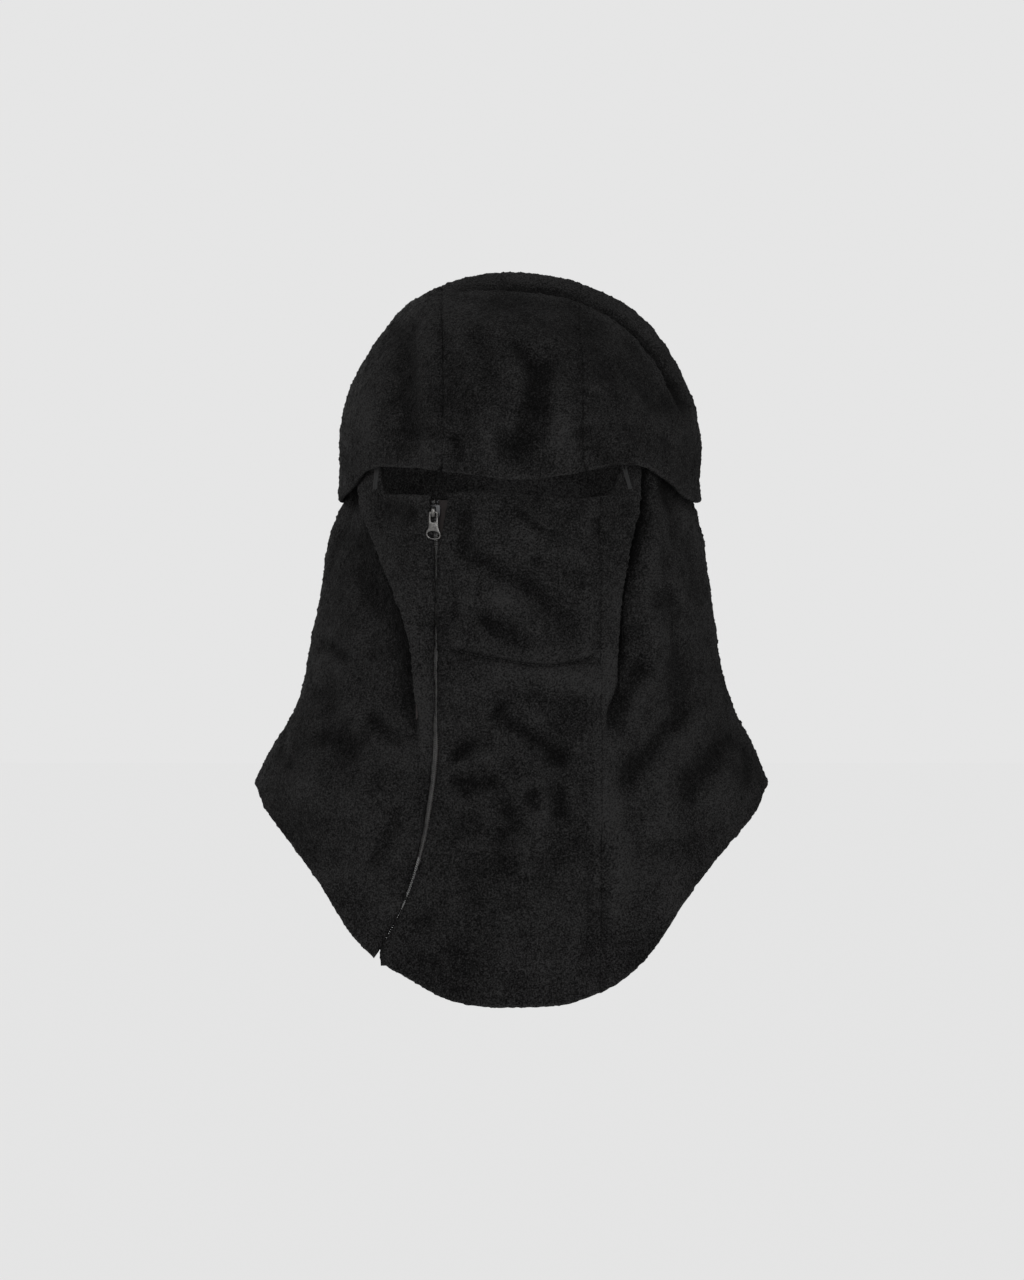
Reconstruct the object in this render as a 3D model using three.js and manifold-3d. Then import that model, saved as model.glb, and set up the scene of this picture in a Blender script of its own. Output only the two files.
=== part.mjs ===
// A fleece balaclava with a three-panel hood, an eye slot under its brim, and a long drape that opens
// with an offset zip. Millimetres, +Z up. The face looks along -Y and +X is the wearer's left.
// The origin is where the top of the head touches the inside of the crown.

import * as THREE from 'three';
import { mergeVertices } from 'three/addons/utils/BufferGeometryUtils.js';
import Module from 'manifold-3d';

const wasm = await Module();
wasm.setup();

// ---------------------------------------------------------------- driving dimensions

const CLOTH = 4; // fleece with its pile
const GAP = 0.3; // between pieces that touch on the real object

const HOOD_CENTRE_X = 4.8;
const HOOD_HALF_WIDTH = 116;
const HOOD_FRONT = 121; // depth of the brim in front of the origin
const HOOD_BACK = 104;
const HOOD_TOP = CLOTH;
const HOOD_WIDEST_Z = -118;
const HOOD_ROUNDNESS = 2.15; // exponent of the crown's superellipse
const HOOD_SEAM_X = [-44, 45];
const HOOD_SIDE_EDGE_Z = -138; // lower edge of the hood beside the face
const HOOD_NAPE_EDGE_Z = -150; // lower edge of the hood at the nape
const HOOD_SIDE_EDGE_Y = -14; // where the brim ends and the neck seam starts
const BRIM_FACING_SETBACK = 1.5; // from the brim's edge
const BRIM_FACING_WIDTH = 24;
const BRIM_FACING_THICKNESS = 1.6;
// Lower edge of the brim, seen from the front: x, z.
const BRIM_EDGE = [[-125, -140], [-106, -133], [-93, -119.5], [-71, -117.5], [-30, -122.5],
  [0, -126], [31, -123.5], [66, -116.5], [84, -117.5], [100, -126.5], [114, -138], [130, -141]];

const HOOD_REACH = 130; // half the width that the brim's cut covers
const HOOD_FLOOR = -200; // below every edge of the hood
const FAR = 200; // beyond the object on every side

const TIP_Z = -320; // height of the two shoulder points
const DRAPE_FLOOR = -480; // below every hem
const DRAPE_TOP_Z = -106; // the drape's tucked-in upper edge, inside the hood
// Half width of the drape, its back depth and its middle, by height: z, value.
const DRAPE_HALF_WIDTH = [[-480, 165], [-330, 165], [TIP_Z, 163.5], [-305, 157], [-280, 143],
  [-254, 133.5], [-203, 124], [-165, 116.4], [-154, 111.2], [-146, 109], [-138, 108.6], [-100, 108.2]];
const DRAPE_BACK = [[-400, 118], [-375, 115], [-320, 107], [-280, 99], [-240, 90], [-200, 87],
  [-165, 90], [-152, 94.6], [-140, 96.6], [-125, 97], [-100, 96.8]];
const DRAPE_CENTRE_X = [[-480, 0.3], [-230, 0.3], [-180, 1.5], [-140, 4.5], [-100, HOOD_CENTRE_X]];
// Front hem from the bottom middle out to each shoulder point, and the back hem: distance aside, z.
const FRONT_HEM_LEFT = [[0, -461], [46, -453.5], [65, -443], [84, -431], [103, -413], [122, -383],
  [141, -358.5], [157, -335], [163, TIP_Z]];
const FRONT_HEM_RIGHT = [[0, -461], [49, -454], [69, -444], [88, -427], [107, -397.5], [126, -372.5],
  [145, -351], [157, -334], [163, TIP_Z]];
const BACK_HEM = [[0, -374], [60, -368], [120, -346], [152, -328], [163, TIP_Z]];
const CENTRE_SEAM_X = 55.9; // seam on the wearer's left of the front

const SLOT_LEFT_X = -82; // ends of the eye slot
const SLOT_RIGHT_X = 67;
const SLOT_EDGE_Z = -139; // top edge of the face panel

// The zip runs straight down from the slot, then curves out to the hem: z, x.
const ZIP_X = -48.3;
const ZIP_TOP_Z = -140.5;
const ZIP_STRAIGHT_END_Z = -296;
const ZIP_PATH = [[-426, -84.5], [-394, -68], [-362, -57.6], [-330, -51.6], [-310, -49.2],
  [ZIP_STRAIGHT_END_Z, ZIP_X], [-260, ZIP_X], [-200, ZIP_X], [-100, ZIP_X]];
const ZIP_BOTTOM_Z = -425;
const ZIP_DEPTH = 99; // of the face panel's outer surface at ZIP_TOP_Z, in front of the origin
const ZIP_LEAN = 0.06; // how far the zip comes forward for each mm down
const ZIP_TURN = -0.22; // sideways slope of the cloth along the zip
const ZIP_FLAT_HALF_WIDTH = 8;
const ZIP_BLEND_WIDTH = 34;
const ZIP_GROOVE = 4.1; // from the middle of the zip to the cloth on each side

const TAPE_THICKNESS = 0.6;
const TAPE_DEPTH = CLOTH + 1.3; // from the cloth's outer surface to the middle of the tape
const TAPE_WIDTH = 12;
const COIL_CLEARANCE = 0.7; // half the space down the middle of the zip
const COIL_WIDTH = 1.8;
const COIL_HEIGHT = 1.8;
const COIL_BASE = TAPE_THICKNESS / 2 + GAP;

const SLIDER_MIDDLE_Z = -148.5;
const SLIDER_LENGTH = 10;
const SLIDER_HALF_WIDTH = 3.75;
const SLIDER_PLATE = 0.9;
const SLIDER_ROOF = COIL_BASE + COIL_HEIGHT + GAP; // underside of the upper plate
const SLIDER_FLOOR = -TAPE_THICKNESS / 2 - GAP; // upper side of the lower plate
const CROWN_WIDTH = 2.4;
const CROWN_HEIGHT = 4.2;
const CROWN_OPENING = 3.2; // height under the crown
const CROWN_LENGTH = 7.4;
const TAB_PIVOT_UP = 6.25; // the tab's bar above the tape
const TAB_PIVOT_ALONG = 0.4;
const TAB_THICKNESS = 1;
const TAB_LENGTH = 17.4;
const TAB_RING_HALF_WIDTH = 4.7;

const SLOT_TAPE = { top: -112, bottom: -133.5, thickness: 0.8, proud: 1.2 };
const MOUTH_LINING = { left: -33.5, right: 53.5, top: -178, bottom: -243.5, thickness: 1.2 };

// ---------------------------------------------------------------- materials

function finish(color, roughness, metalness) {
  return new THREE.MeshStandardMaterial({ color, roughness, metalness });
}

const fleece = finish(0x17161a, 0.95, 0);
const lining = finish(0x121214, 0.9, 0);
const tape = finish(0x241a19, 0.85, 0);
const greyTape = finish(0x6d6d70, 0.7, 0);
const nylon = finish(0x3a3a3e, 0.45, 0);
const gunmetal = finish(0x2c2c30, 0.35, 0.9);

// ---------------------------------------------------------------- curves and solids

// A smooth value from [place, value] pairs, with each slope taken from the two neighbours.
function smooth(pairs) {
  const rows = [...pairs].sort((a, b) => a[0] - b[0]);
  const slope = rows.map((row, i) => {
    const before = rows[Math.max(i - 1, 0)];
    const after = rows[Math.min(i + 1, rows.length - 1)];
    return (after[1] - before[1]) / (after[0] - before[0]);
  });
  return (place) => {
    const at = THREE.MathUtils.clamp(place, rows[0][0], rows.at(-1)[0]);
    const i = Math.max(rows.findIndex((row) => row[0] >= at), 1);
    const [x0, y0] = rows[i - 1];
    const [x1, y1] = rows[i];
    const span = x1 - x0;
    const t = (at - x0) / span;
    const bend0 = (t ** 3 - 2 * t ** 2 + t) * span * slope[i - 1];
    const bend1 = (t ** 3 - t ** 2) * span * slope[i];
    return y0 + (y1 - y0) * (3 * t ** 2 - 2 * t ** 3) + bend0 + bend1;
  };
}

function solid(geometry) {
  const bare = geometry.clone();
  bare.deleteAttribute('normal');
  bare.deleteAttribute('uv');
  const merged = mergeVertices(bare, 1e-4);
  return new wasm.Manifold(new wasm.Mesh({
    numProp: 3,
    vertProperties: new Float32Array(merged.attributes.position.array),
    triVerts: new Uint32Array(merged.index.array),
  }));
}

function geometryOf(manifold) {
  const mesh = manifold.simplify(0.02).getMesh();
  const geometry = new THREE.BufferGeometry();
  geometry.setAttribute('position', new THREE.BufferAttribute(new Float32Array(mesh.vertProperties), 3));
  geometry.setIndex(new THREE.BufferAttribute(new Uint32Array(mesh.triVerts), 1));
  geometry.computeVertexNormals();
  return geometry;
}

function named(name, geometry, material) {
  const mesh = new THREE.Mesh(geometry, material);
  mesh.name = name;
  return mesh;
}

// Moves every point of a geometry to place(x, y, z).
function warp(geometry, place) {
  const position = geometry.attributes.position;
  for (let i = 0; i < position.count; i += 1) {
    const moved = place(position.getX(i), position.getY(i), position.getZ(i));
    position.setXYZ(i, moved.x, moved.y, moved.z);
  }
  geometry.computeVertexNormals();
  return geometry;
}

// A front-view outline, [x, z] points, as a solid between two depths.
function frontCut(outline, nearY, farY) {
  const shape = new THREE.Shape(outline.map(([x, z]) => new THREE.Vector2(x, z)));
  const geometry = new THREE.ExtrudeGeometry(shape, { depth: farY - nearY, bevelEnabled: false });
  geometry.rotateX(Math.PI / 2);
  geometry.translate(0, farY, 0);
  return solid(geometry);
}

// A side-view outline, [y, z] points, as a solid right across the object.
function sideCut(outline) {
  const shape = new THREE.Shape(outline.map(([y, z]) => new THREE.Vector2(y, z)));
  const geometry = new THREE.ExtrudeGeometry(shape, { depth: 500, bevelEnabled: false });
  geometry.translate(0, 0, -250);
  geometry.rotateX(Math.PI / 2);
  geometry.rotateZ(Math.PI / 2);
  return solid(geometry);
}

function samples(curve, from, to, count) {
  return Array.from({ length: count + 1 }, (_, i) => {
    const at = from + (to - from) * (i / count);
    return [at, curve(at)];
  });
}

// ---------------------------------------------------------------- the garment's surfaces

const drapeHalfWidth = smooth(DRAPE_HALF_WIDTH);
const drapeBack = smooth(DRAPE_BACK);
const drapeCentre = smooth(DRAPE_CENTRE_X);
const zipX = smooth(ZIP_PATH);
const brimZ = smooth(BRIM_EDGE);

function zipDepth(z) {
  return ZIP_DEPTH + ZIP_LEAN * (ZIP_TOP_Z - z);
}

function fade(value, from, to) {
  return THREE.MathUtils.smoothstep(value, Math.min(from, to), Math.max(from, to));
}

// Half width of the hood at a height, as a share of its widest.
function hoodShare(z, top) {
  if (z <= HOOD_WIDEST_Z) {
    return 1 - 0.015 * ((HOOD_WIDEST_Z - z) / 34) ** 2;
  }
  const up = Math.min((z - HOOD_WIDEST_Z) / (top - HOOD_WIDEST_Z), 1);
  return (1 - up ** HOOD_ROUNDNESS) ** (1 / HOOD_ROUNDNESS);
}

// A point of the drape, inset from its outer surface. Angle 0 is the front, and 90 degrees is +X.
function drapePoint(angle, z, inset) {
  const halfWidth = drapeHalfWidth(z);
  const x = drapeCentre(z) + (halfWidth - inset) * Math.sin(angle);
  const facing = Math.cos(angle);
  if (facing < 0) {
    return new THREE.Vector3(x, -(drapeBack(z) - inset) * facing, z);
  }
  const acrossAtZip = (ZIP_X - drapeCentre(z)) / halfWidth;
  const depth = zipDepth(z) / Math.sqrt(1 - acrossAtZip ** 2);
  const round = -(depth - inset) * facing;
  const aside = x - zipX(z);
  const flat = -zipDepth(z) + inset * Math.hypot(1, ZIP_TURN) + ZIP_TURN * aside;
  const near = 1 - fade(Math.abs(aside), ZIP_FLAT_HALF_WIDTH, ZIP_BLEND_WIDTH);
  const straight = fade(z, ZIP_STRAIGHT_END_Z - 50, ZIP_STRAIGHT_END_Z + 4);
  return new THREE.Vector3(x, THREE.MathUtils.lerp(round, flat, near * straight), z);
}

// The drape's surface at a place seen from the front, and its outward direction there.
function frontSurface(x, z, inset) {
  const across = (x - drapeCentre(z)) / (drapeHalfWidth(z) - inset);
  return drapePoint(Math.asin(THREE.MathUtils.clamp(across, -0.999, 0.999)), z, inset);
}

function frontNormal(x, z) {
  const step = 1;
  const aside = frontSurface(x + step, z, CLOTH).sub(frontSurface(x - step, z, CLOTH));
  const up = frontSurface(x, z + step, CLOTH).sub(frontSurface(x, z - step, CLOTH));
  return aside.cross(up).normalize();
}

// A closed round body from bottomZ to topZ: a cylinder with each ring moved onto place(angle, z).
function roundBody(bottomZ, topZ, around, levels, place) {
  const geometry = new THREE.CylinderGeometry(1, 1, 1, around, levels);
  return solid(warp(geometry, (x, y, z) => {
    const level = bottomZ + (topZ - bottomZ) * (y + 0.5);
    const middle = x * x + z * z < 0.25;
    return middle ? new THREE.Vector3(0, 0, level) : place(Math.atan2(x, z), level);
  }));
}

function hoodBody(inset, bottomZ) {
  const ringCount = 11;
  const profile = [new THREE.Vector2(0, bottomZ), new THREE.Vector2(hoodShare(bottomZ, HOOD_TOP), bottomZ)];
  profile.push(new THREE.Vector2(1, HOOD_WIDEST_Z));
  for (let i = 1; i < ringCount; i += 1) {
    const turn = (Math.PI / 2) * (i / ringCount);
    const height = (HOOD_TOP - inset - HOOD_WIDEST_Z) * Math.sin(turn) ** (2 / HOOD_ROUNDNESS);
    profile.push(new THREE.Vector2(Math.cos(turn) ** (2 / HOOD_ROUNDNESS), HOOD_WIDEST_Z + height));
  }
  profile.push(new THREE.Vector2(0, HOOD_TOP - inset));
  return solid(warp(new THREE.LatheGeometry(profile, 44), (x, y, z) => {
    const depth = z > 0 ? HOOD_FRONT - inset : HOOD_BACK - inset;
    return new THREE.Vector3(HOOD_CENTRE_X + x * (HOOD_HALF_WIDTH - inset), -z * depth, y);
  }));
}

// ---------------------------------------------------------------- hood

function hoodPieces() {
  const brimRaised = (rise) => samples((x) => brimZ(x) + rise, -HOOD_REACH, HOOD_REACH, 22);
  const underBrim = frontCut([[-HOOD_REACH, HOOD_FLOOR], ...brimRaised(0), [HOOD_REACH, HOOD_FLOOR]],
    -FAR, HOOD_SIDE_EDGE_Y);
  const neckEdge = [[-FAR, HOOD_FLOOR], [-FAR, HOOD_SIDE_EDGE_Z - 22], [HOOD_SIDE_EDGE_Y, HOOD_SIDE_EDGE_Z],
    [50, HOOD_SIDE_EDGE_Z - 4], [HOOD_BACK, HOOD_NAPE_EDGE_Z], [FAR, HOOD_NAPE_EDGE_Z - 2],
    [FAR, HOOD_FLOOR]];
  const open = underBrim.add(sideCut(neckEdge));
  const shell = hoodBody(0, HOOD_FLOOR + 30).subtract(hoodBody(CLOTH, HOOD_FLOOR + 20)).subtract(open);

  const [left, right] = HOOD_SEAM_X;
  const half = GAP / 2;
  const slab = (fromX, toX) => frontCut(
    [[fromX, HOOD_FLOOR], [toX, HOOD_FLOOR], [toX, FAR], [fromX, FAR]], -FAR, FAR);
  const centre = shell.intersect(slab(left + half, right - half));
  const sideLeft = shell.intersect(slab(-FAR, left - half));
  const sideRight = shell.intersect(slab(right + half, FAR));

  const bandOutline = [...brimRaised(BRIM_FACING_SETBACK), ...brimRaised(BRIM_FACING_WIDTH).reverse()];
  const facingBand = frontCut(bandOutline, -FAR, HOOD_SIDE_EDGE_Y - 6);
  const facingOuter = hoodBody(CLOTH + GAP, HOOD_FLOOR + 30);
  const facingInner = hoodBody(CLOTH + GAP + BRIM_FACING_THICKNESS, HOOD_FLOOR + 20);
  const facing = facingOuter.subtract(facingInner).intersect(facingBand);

  return [
    named('hood_centre_panel', geometryOf(centre), fleece),
    named('hood_side_left', geometryOf(sideLeft), fleece),
    named('hood_side_right', geometryOf(sideRight), fleece),
    named('brim_facing', geometryOf(facing), lining),
  ];
}

// ---------------------------------------------------------------- drape

function drapeShell() {
  const place = (inset) => (angle, z) => drapePoint(angle, z, inset);
  const outer = roundBody(DRAPE_FLOOR + 10, DRAPE_TOP_Z, 64, 24, place(0));
  return outer.subtract(roundBody(DRAPE_FLOOR, DRAPE_TOP_Z + 10, 64, 25, place(CLOTH)));
}

function hemPoints(hem, side) {
  const curve = new THREE.SplineCurve(hem.map(([x, z]) => new THREE.Vector2(x * side, z)));
  return curve.getPoints(14).map((point) => [point.x, point.y]);
}

// Everything above a hem that runs between the two shoulder points, between two depths.
function aboveHem(hemLeft, hemRight, nearY, farY) {
  const high = DRAPE_TOP_Z + 20;
  const leftSide = hemPoints(hemLeft, -1);
  const rightSide = hemPoints(hemRight, 1).reverse().slice(0, -1);
  return frontCut([...leftSide, [-FAR, TIP_Z], [-FAR, high], [FAR, high], [FAR, TIP_Z], ...rightSide],
    nearY, farY);
}

function drapePieces() {
  const shell = drapeShell();
  const high = DRAPE_TOP_Z + 20;
  const front = aboveHem(FRONT_HEM_LEFT, FRONT_HEM_RIGHT, -FAR, -GAP / 2);
  const back = aboveHem(BACK_HEM, BACK_HEM, GAP / 2, FAR);
  const groove = solid(zipStrip(ZIP_TOP_Z + 12, ZIP_BOTTOM_Z - 16, [-ZIP_GROOVE, ZIP_GROOVE],
    [-3, 12], 26, 1));
  const frontShell = shell.intersect(front).subtract(groove);

  const zipLine = samples(zipX, ZIP_BOTTOM_Z - 6, SLOT_EDGE_Z, 16).map(([z, x]) => [x, z]);
  const hemAtZip = [zipLine[0][0] - 5, DRAPE_FLOOR];
  const seamLeft = CENTRE_SEAM_X - GAP / 2;
  const seamRight = CENTRE_SEAM_X + GAP / 2;
  const leftOutline = [[-FAR, DRAPE_FLOOR], hemAtZip, ...zipLine, [SLOT_LEFT_X + 6, SLOT_EDGE_Z],
    [SLOT_LEFT_X, SLOT_EDGE_Z + 1.5], [SLOT_LEFT_X - 1, SLOT_EDGE_Z + 8], [SLOT_LEFT_X - 2, high],
    [-FAR, high]];
  const centreOutline = [hemAtZip, [seamLeft, DRAPE_FLOOR], [seamLeft, SLOT_EDGE_Z - 1],
    [43, SLOT_EDGE_Z - 2.2], [18, SLOT_EDGE_Z - 1], [-12, SLOT_EDGE_Z + 2.6], [-36, SLOT_EDGE_Z + 1.8],
    ...[...zipLine].reverse()];
  const rightOutline = [[seamRight, DRAPE_FLOOR], [FAR, DRAPE_FLOOR], [FAR, high], [SLOT_RIGHT_X + 7, high],
    [SLOT_RIGHT_X + 5, SLOT_EDGE_Z + 15], [SLOT_RIGHT_X - 1, SLOT_EDGE_Z + 5.5],
    [SLOT_RIGHT_X - 5, SLOT_EDGE_Z - 0.2], [seamRight, SLOT_EDGE_Z - 0.8]];
  const piece = (name, outline) => named(name,
    geometryOf(frontShell.intersect(frontCut(outline, -FAR, 0))), fleece);

  return [
    piece('front_left_panel', leftOutline),
    piece('front_centre_panel', centreOutline),
    piece('front_right_panel', rightOutline),
    named('back_panel', geometryOf(shell.intersect(back)), fleece),
  ];
}

// ---------------------------------------------------------------- linings and tapes that follow the cloth

// A point beside the zip: down it by height z, aside from its middle, and up from the tape.
function zipPoint(z, aside, up) {
  const lean = (zipX(z + 1) - zipX(z - 1)) / 2;
  const length = Math.hypot(1, lean);
  const x = zipX(z) + aside / length;
  const level = z - (aside * lean) / length;
  return frontSurface(x, level, TAPE_DEPTH).addScaledVector(frontNormal(x, level), up);
}

// A strip along the zip with a rectangular section, aside from..to and up from..to.
function zipStrip(topZ, bottomZ, aside, up, steps, across) {
  const geometry = new THREE.BoxGeometry(1, 1, 1, across, steps, 1);
  return warp(geometry, (x, y, z) => zipPoint(
    THREE.MathUtils.lerp(bottomZ, topZ, y + 0.5),
    THREE.MathUtils.lerp(aside[0], aside[1], x + 0.5),
    THREE.MathUtils.lerp(up[0], up[1], z + 0.5),
  ));
}

function zipPieces() {
  const pieces = [];
  for (const [side, sign] of [['left', -1], ['right', 1]]) {
    const span = (near, far) => (sign > 0 ? [near, far] : [-far, -near]);
    const tapeSpan = span(COIL_CLEARANCE, COIL_CLEARANCE + TAPE_WIDTH);
    const coilSpan = span(COIL_CLEARANCE, COIL_CLEARANCE + COIL_WIDTH);
    const half = TAPE_THICKNESS / 2;
    const coilUp = [COIL_BASE, COIL_BASE + COIL_HEIGHT];
    const coilTop = ZIP_TOP_Z - 2.8;
    pieces.push(named(`zip_tape_${side}`,
      zipStrip(ZIP_TOP_Z, ZIP_BOTTOM_Z, tapeSpan, [-half, half], 28, 2), tape));
    pieces.push(named(`zip_coil_${side}`,
      zipStrip(coilTop, ZIP_BOTTOM_Z + 4.5, coilSpan, coilUp, 32, 1), nylon));
    pieces.push(named(`zip_top_stop_${side}`,
      zipStrip(ZIP_TOP_Z - 0.2, coilTop + GAP, coilSpan, coilUp, 2, 1), gunmetal));
  }
  const reach = COIL_CLEARANCE + COIL_WIDTH;
  const stop = zipStrip(ZIP_BOTTOM_Z + 4.2, ZIP_BOTTOM_Z + 0.8, [-reach, reach],
    [COIL_BASE, COIL_BASE + COIL_HEIGHT], 3, 2);
  pieces.push(named('zip_bottom_stop', stop, gunmetal));
  return pieces;
}

function mouthLining() {
  const { left, right, top, bottom, thickness } = MOUTH_LINING;
  const near = CLOTH + 0.6;
  const geometry = warp(new THREE.BoxGeometry(1, 1, 1, 14, 6, 1), (x, y, z) => {
    const across = THREE.MathUtils.lerp(left, right, x + 0.5);
    const level = THREE.MathUtils.lerp(bottom, top, y + 0.5);
    return frontSurface(across, level, near + thickness * (0.5 - z));
  });
  return named('mouth_lining', geometry, lining);
}

// A short flat tape from inside the brim down to a corner of the eye slot.
function slotTape(side, topX, bottomX, width) {
  const { top, bottom, thickness, proud } = SLOT_TAPE;
  const geometry = warp(new THREE.BoxGeometry(1, 1, 1, 2, 8, 1), (x, y, z) => {
    const down = 0.5 - y;
    const level = THREE.MathUtils.lerp(top, bottom, down);
    const across = THREE.MathUtils.lerp(topX, bottomX, down ** 1.4) + width * x;
    const place = frontSurface(across, level, 0);
    return place.add(new THREE.Vector3(0, -proud - thickness * (0.5 + z), 0));
  });
  return named(`slot_tape_${side}`, geometry, greyTape);
}

// ---------------------------------------------------------------- slider and pull tab

// Axes on the zip: along it downwards, out of the cloth, and across it.
const ALONG = new THREE.Vector3(0, -ZIP_LEAN, -1).normalize();
const OUT = new THREE.Vector3(ZIP_TURN, -1, ZIP_LEAN).normalize();
const ACROSS = new THREE.Vector3().crossVectors(ALONG, OUT).normalize();
const SLIDER_PLACE = zipPoint(SLIDER_MIDDLE_Z, 0, 0);

// Puts a geometry drawn as (across, along, up) onto the zip.
function onZip(geometry) {
  const axes = new THREE.Matrix4().makeBasis(ACROSS, ALONG, OUT);
  geometry.applyMatrix4(axes.setPosition(SLIDER_PLACE));
  return geometry;
}

// An outline of [across, along] points between two heights above the tape.
function plate(outline, bottom, top) {
  const shape = new THREE.Shape(outline.map(([x, y]) => new THREE.Vector2(x, y)));
  const geometry = new THREE.ExtrudeGeometry(shape, { depth: top - bottom, bevelEnabled: false });
  geometry.translate(0, 0, bottom);
  return solid(geometry);
}

function mirrored(half) {
  return [...half, ...half.map(([x, y]) => [-x, y]).reverse()];
}

function sliderBody() {
  const end = SLIDER_LENGTH / 2;
  const wide = SLIDER_HALF_WIDTH;
  const outline = mirrored([[1.2, -end], [2.6, -end + 0.2], [wide, -end + 2.2], [wide, -end + 4.6],
    [wide - 0.7, end - 1.4], [wide - 1.2, end]]);
  const inside = mirrored([[wide - 0.8, -end - 1], [wide - 0.8, end + 1]]);
  const upper = plate(outline, SLIDER_ROOF, SLIDER_ROOF + SLIDER_PLATE);
  const lower = plate(outline, SLIDER_FLOOR - SLIDER_PLATE, SLIDER_FLOOR);
  const rails = plate(outline, TAPE_THICKNESS / 2 + GAP, SLIDER_ROOF + 0.1)
    .subtract(plate(inside, -1, SLIDER_ROOF + 1));
  const wedge = mirrored([[0.35, -end], [0.35, -end + 2.6]]);
  const divider = plate(wedge, SLIDER_FLOOR - 0.1, SLIDER_ROOF + 0.1);
  const pinHole = plate(mirrored([[0.7, 0.9], [0.7, 2.9]]), SLIDER_ROOF - 0.3, SLIDER_ROOF + 2);
  const body = upper.add(lower).add(rails).add(divider).subtract(pinHole);
  return named('slider_body', onZip(geometryOf(body)), gunmetal);
}

// The crown is drawn from the side: [along, up], and given its width across.
function fromTheSide(shape, width) {
  const settings = { depth: width, bevelEnabled: false, curveSegments: 6 };
  const geometry = new THREE.ExtrudeGeometry(shape, settings);
  geometry.translate(0, 0, -width / 2);
  geometry.applyMatrix4(new THREE.Matrix4().set(0, 0, 1, 0, 1, 0, 0, 0, 0, 1, 0, 0, 0, 0, 0, 1));
  return geometry;
}

function sliderCrown() {
  const base = SLIDER_ROOF + SLIDER_PLATE + GAP;
  const half = CROWN_LENGTH / 2;
  const leg = half - 1.1;
  const top = base + CROWN_HEIGHT;
  const under = base + CROWN_OPENING;
  const arch = new THREE.Shape();
  arch.moveTo(-half, base);
  arch.bezierCurveTo(-half, top, -half + 1.4, top, 0, top);
  arch.bezierCurveTo(half - 1.4, top, half, top, half, base);
  arch.lineTo(leg, base);
  arch.bezierCurveTo(leg, under, leg - 0.5, under, 0, under);
  arch.bezierCurveTo(-leg + 0.5, under, -leg, under, -leg, base);
  arch.closePath();
  return named('slider_crown', onZip(geometryOf(solid(fromTheSide(arch, CROWN_WIDTH)))), gunmetal);
}

// A leaf spring under the crown with a pin that drops through the plate into the coil.
function sliderLockSpring() {
  const base = SLIDER_ROOF + SLIDER_PLATE + GAP;
  const pinEnd = SLIDER_ROOF + 0.1;
  const outline = [[-2.1, base], [1.4, base], [1.4, pinEnd], [2.2, pinEnd], [2.2, base + 0.4], [-2.1, base + 0.4]];
  const leaf = new THREE.Shape(outline.map(([x, y]) => new THREE.Vector2(x, y)));
  return named('slider_lock_spring', onZip(geometryOf(solid(fromTheSide(leaf, 0.9)))), gunmetal);
}

function pullTab() {
  const bottom = TAB_PIVOT_UP - TAB_THICKNESS / 2;
  const top = TAB_PIVOT_UP + TAB_THICKNESS / 2;
  const start = TAB_PIVOT_ALONG - TAB_THICKNESS / 2;
  const end = TAB_PIVOT_ALONG + TAB_LENGTH;
  const ring = TAB_RING_HALF_WIDTH;
  const outline = mirrored([[2.7, start], [2.8, start + 8], [3.1, end - 6.6], [ring - 0.5, end - 5],
    [ring, end - 3.3], [ring - 0.5, end - 1.5], [2.6, end - 0.2]]);
  const window = mirrored([[1.6, start + TAB_THICKNESS], [1.6, start + 7.6]]);
  const hole = mirrored([[1.4, end - 5.1], [3.1, end - 4.5], [3.7, end - 3.3], [3, end - 1.8],
    [1.4, end - 1.1]]);
  const tab = plate(outline, bottom, top)
    .subtract(plate(window, bottom - 1, top + 1))
    .subtract(plate(hole, bottom - 1, top + 1));
  return named('pull_tab', onZip(geometryOf(tab)), gunmetal);
}

// ---------------------------------------------------------------- the whole object

const balaclava = new THREE.Group();
balaclava.name = 'balaclava';
balaclava.add(...hoodPieces());
balaclava.add(...drapePieces());
balaclava.add(mouthLining());
balaclava.add(slotTape('left', -84, -86.5, 3));
balaclava.add(slotTape('right', 68.5, 76, 2));
balaclava.add(...zipPieces());

const slider = new THREE.Group();
slider.name = 'slider';
slider.add(sliderBody(), sliderCrown(), sliderLockSpring(), pullTab());
balaclava.add(slider);

export default balaclava;
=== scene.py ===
"""A fleece balaclava with a panelled hood, an eye slot and a long zip-front drape, in soft studio light."""

import math

import bmesh
import bpy
import numpy as np
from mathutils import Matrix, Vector


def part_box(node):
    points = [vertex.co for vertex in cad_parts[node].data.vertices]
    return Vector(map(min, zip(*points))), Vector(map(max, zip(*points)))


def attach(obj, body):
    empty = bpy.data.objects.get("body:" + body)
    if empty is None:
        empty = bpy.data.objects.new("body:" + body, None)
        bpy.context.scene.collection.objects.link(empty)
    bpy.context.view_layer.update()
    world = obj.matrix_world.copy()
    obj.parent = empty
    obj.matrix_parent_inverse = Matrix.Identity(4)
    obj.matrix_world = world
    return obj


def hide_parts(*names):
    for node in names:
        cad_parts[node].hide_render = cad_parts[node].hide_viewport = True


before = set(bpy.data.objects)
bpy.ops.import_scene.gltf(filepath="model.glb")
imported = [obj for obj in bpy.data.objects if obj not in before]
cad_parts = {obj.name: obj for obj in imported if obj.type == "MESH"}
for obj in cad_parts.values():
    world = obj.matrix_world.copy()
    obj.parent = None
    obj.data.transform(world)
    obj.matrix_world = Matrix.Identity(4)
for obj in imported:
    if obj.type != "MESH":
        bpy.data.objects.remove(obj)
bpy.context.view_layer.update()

MM = 0.001


def box_mm(node):
    """A CAD node's lowest and highest corners, in millimetres."""
    lo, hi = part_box(node)
    return np.array(lo) / MM, np.array(hi) / MM


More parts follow.
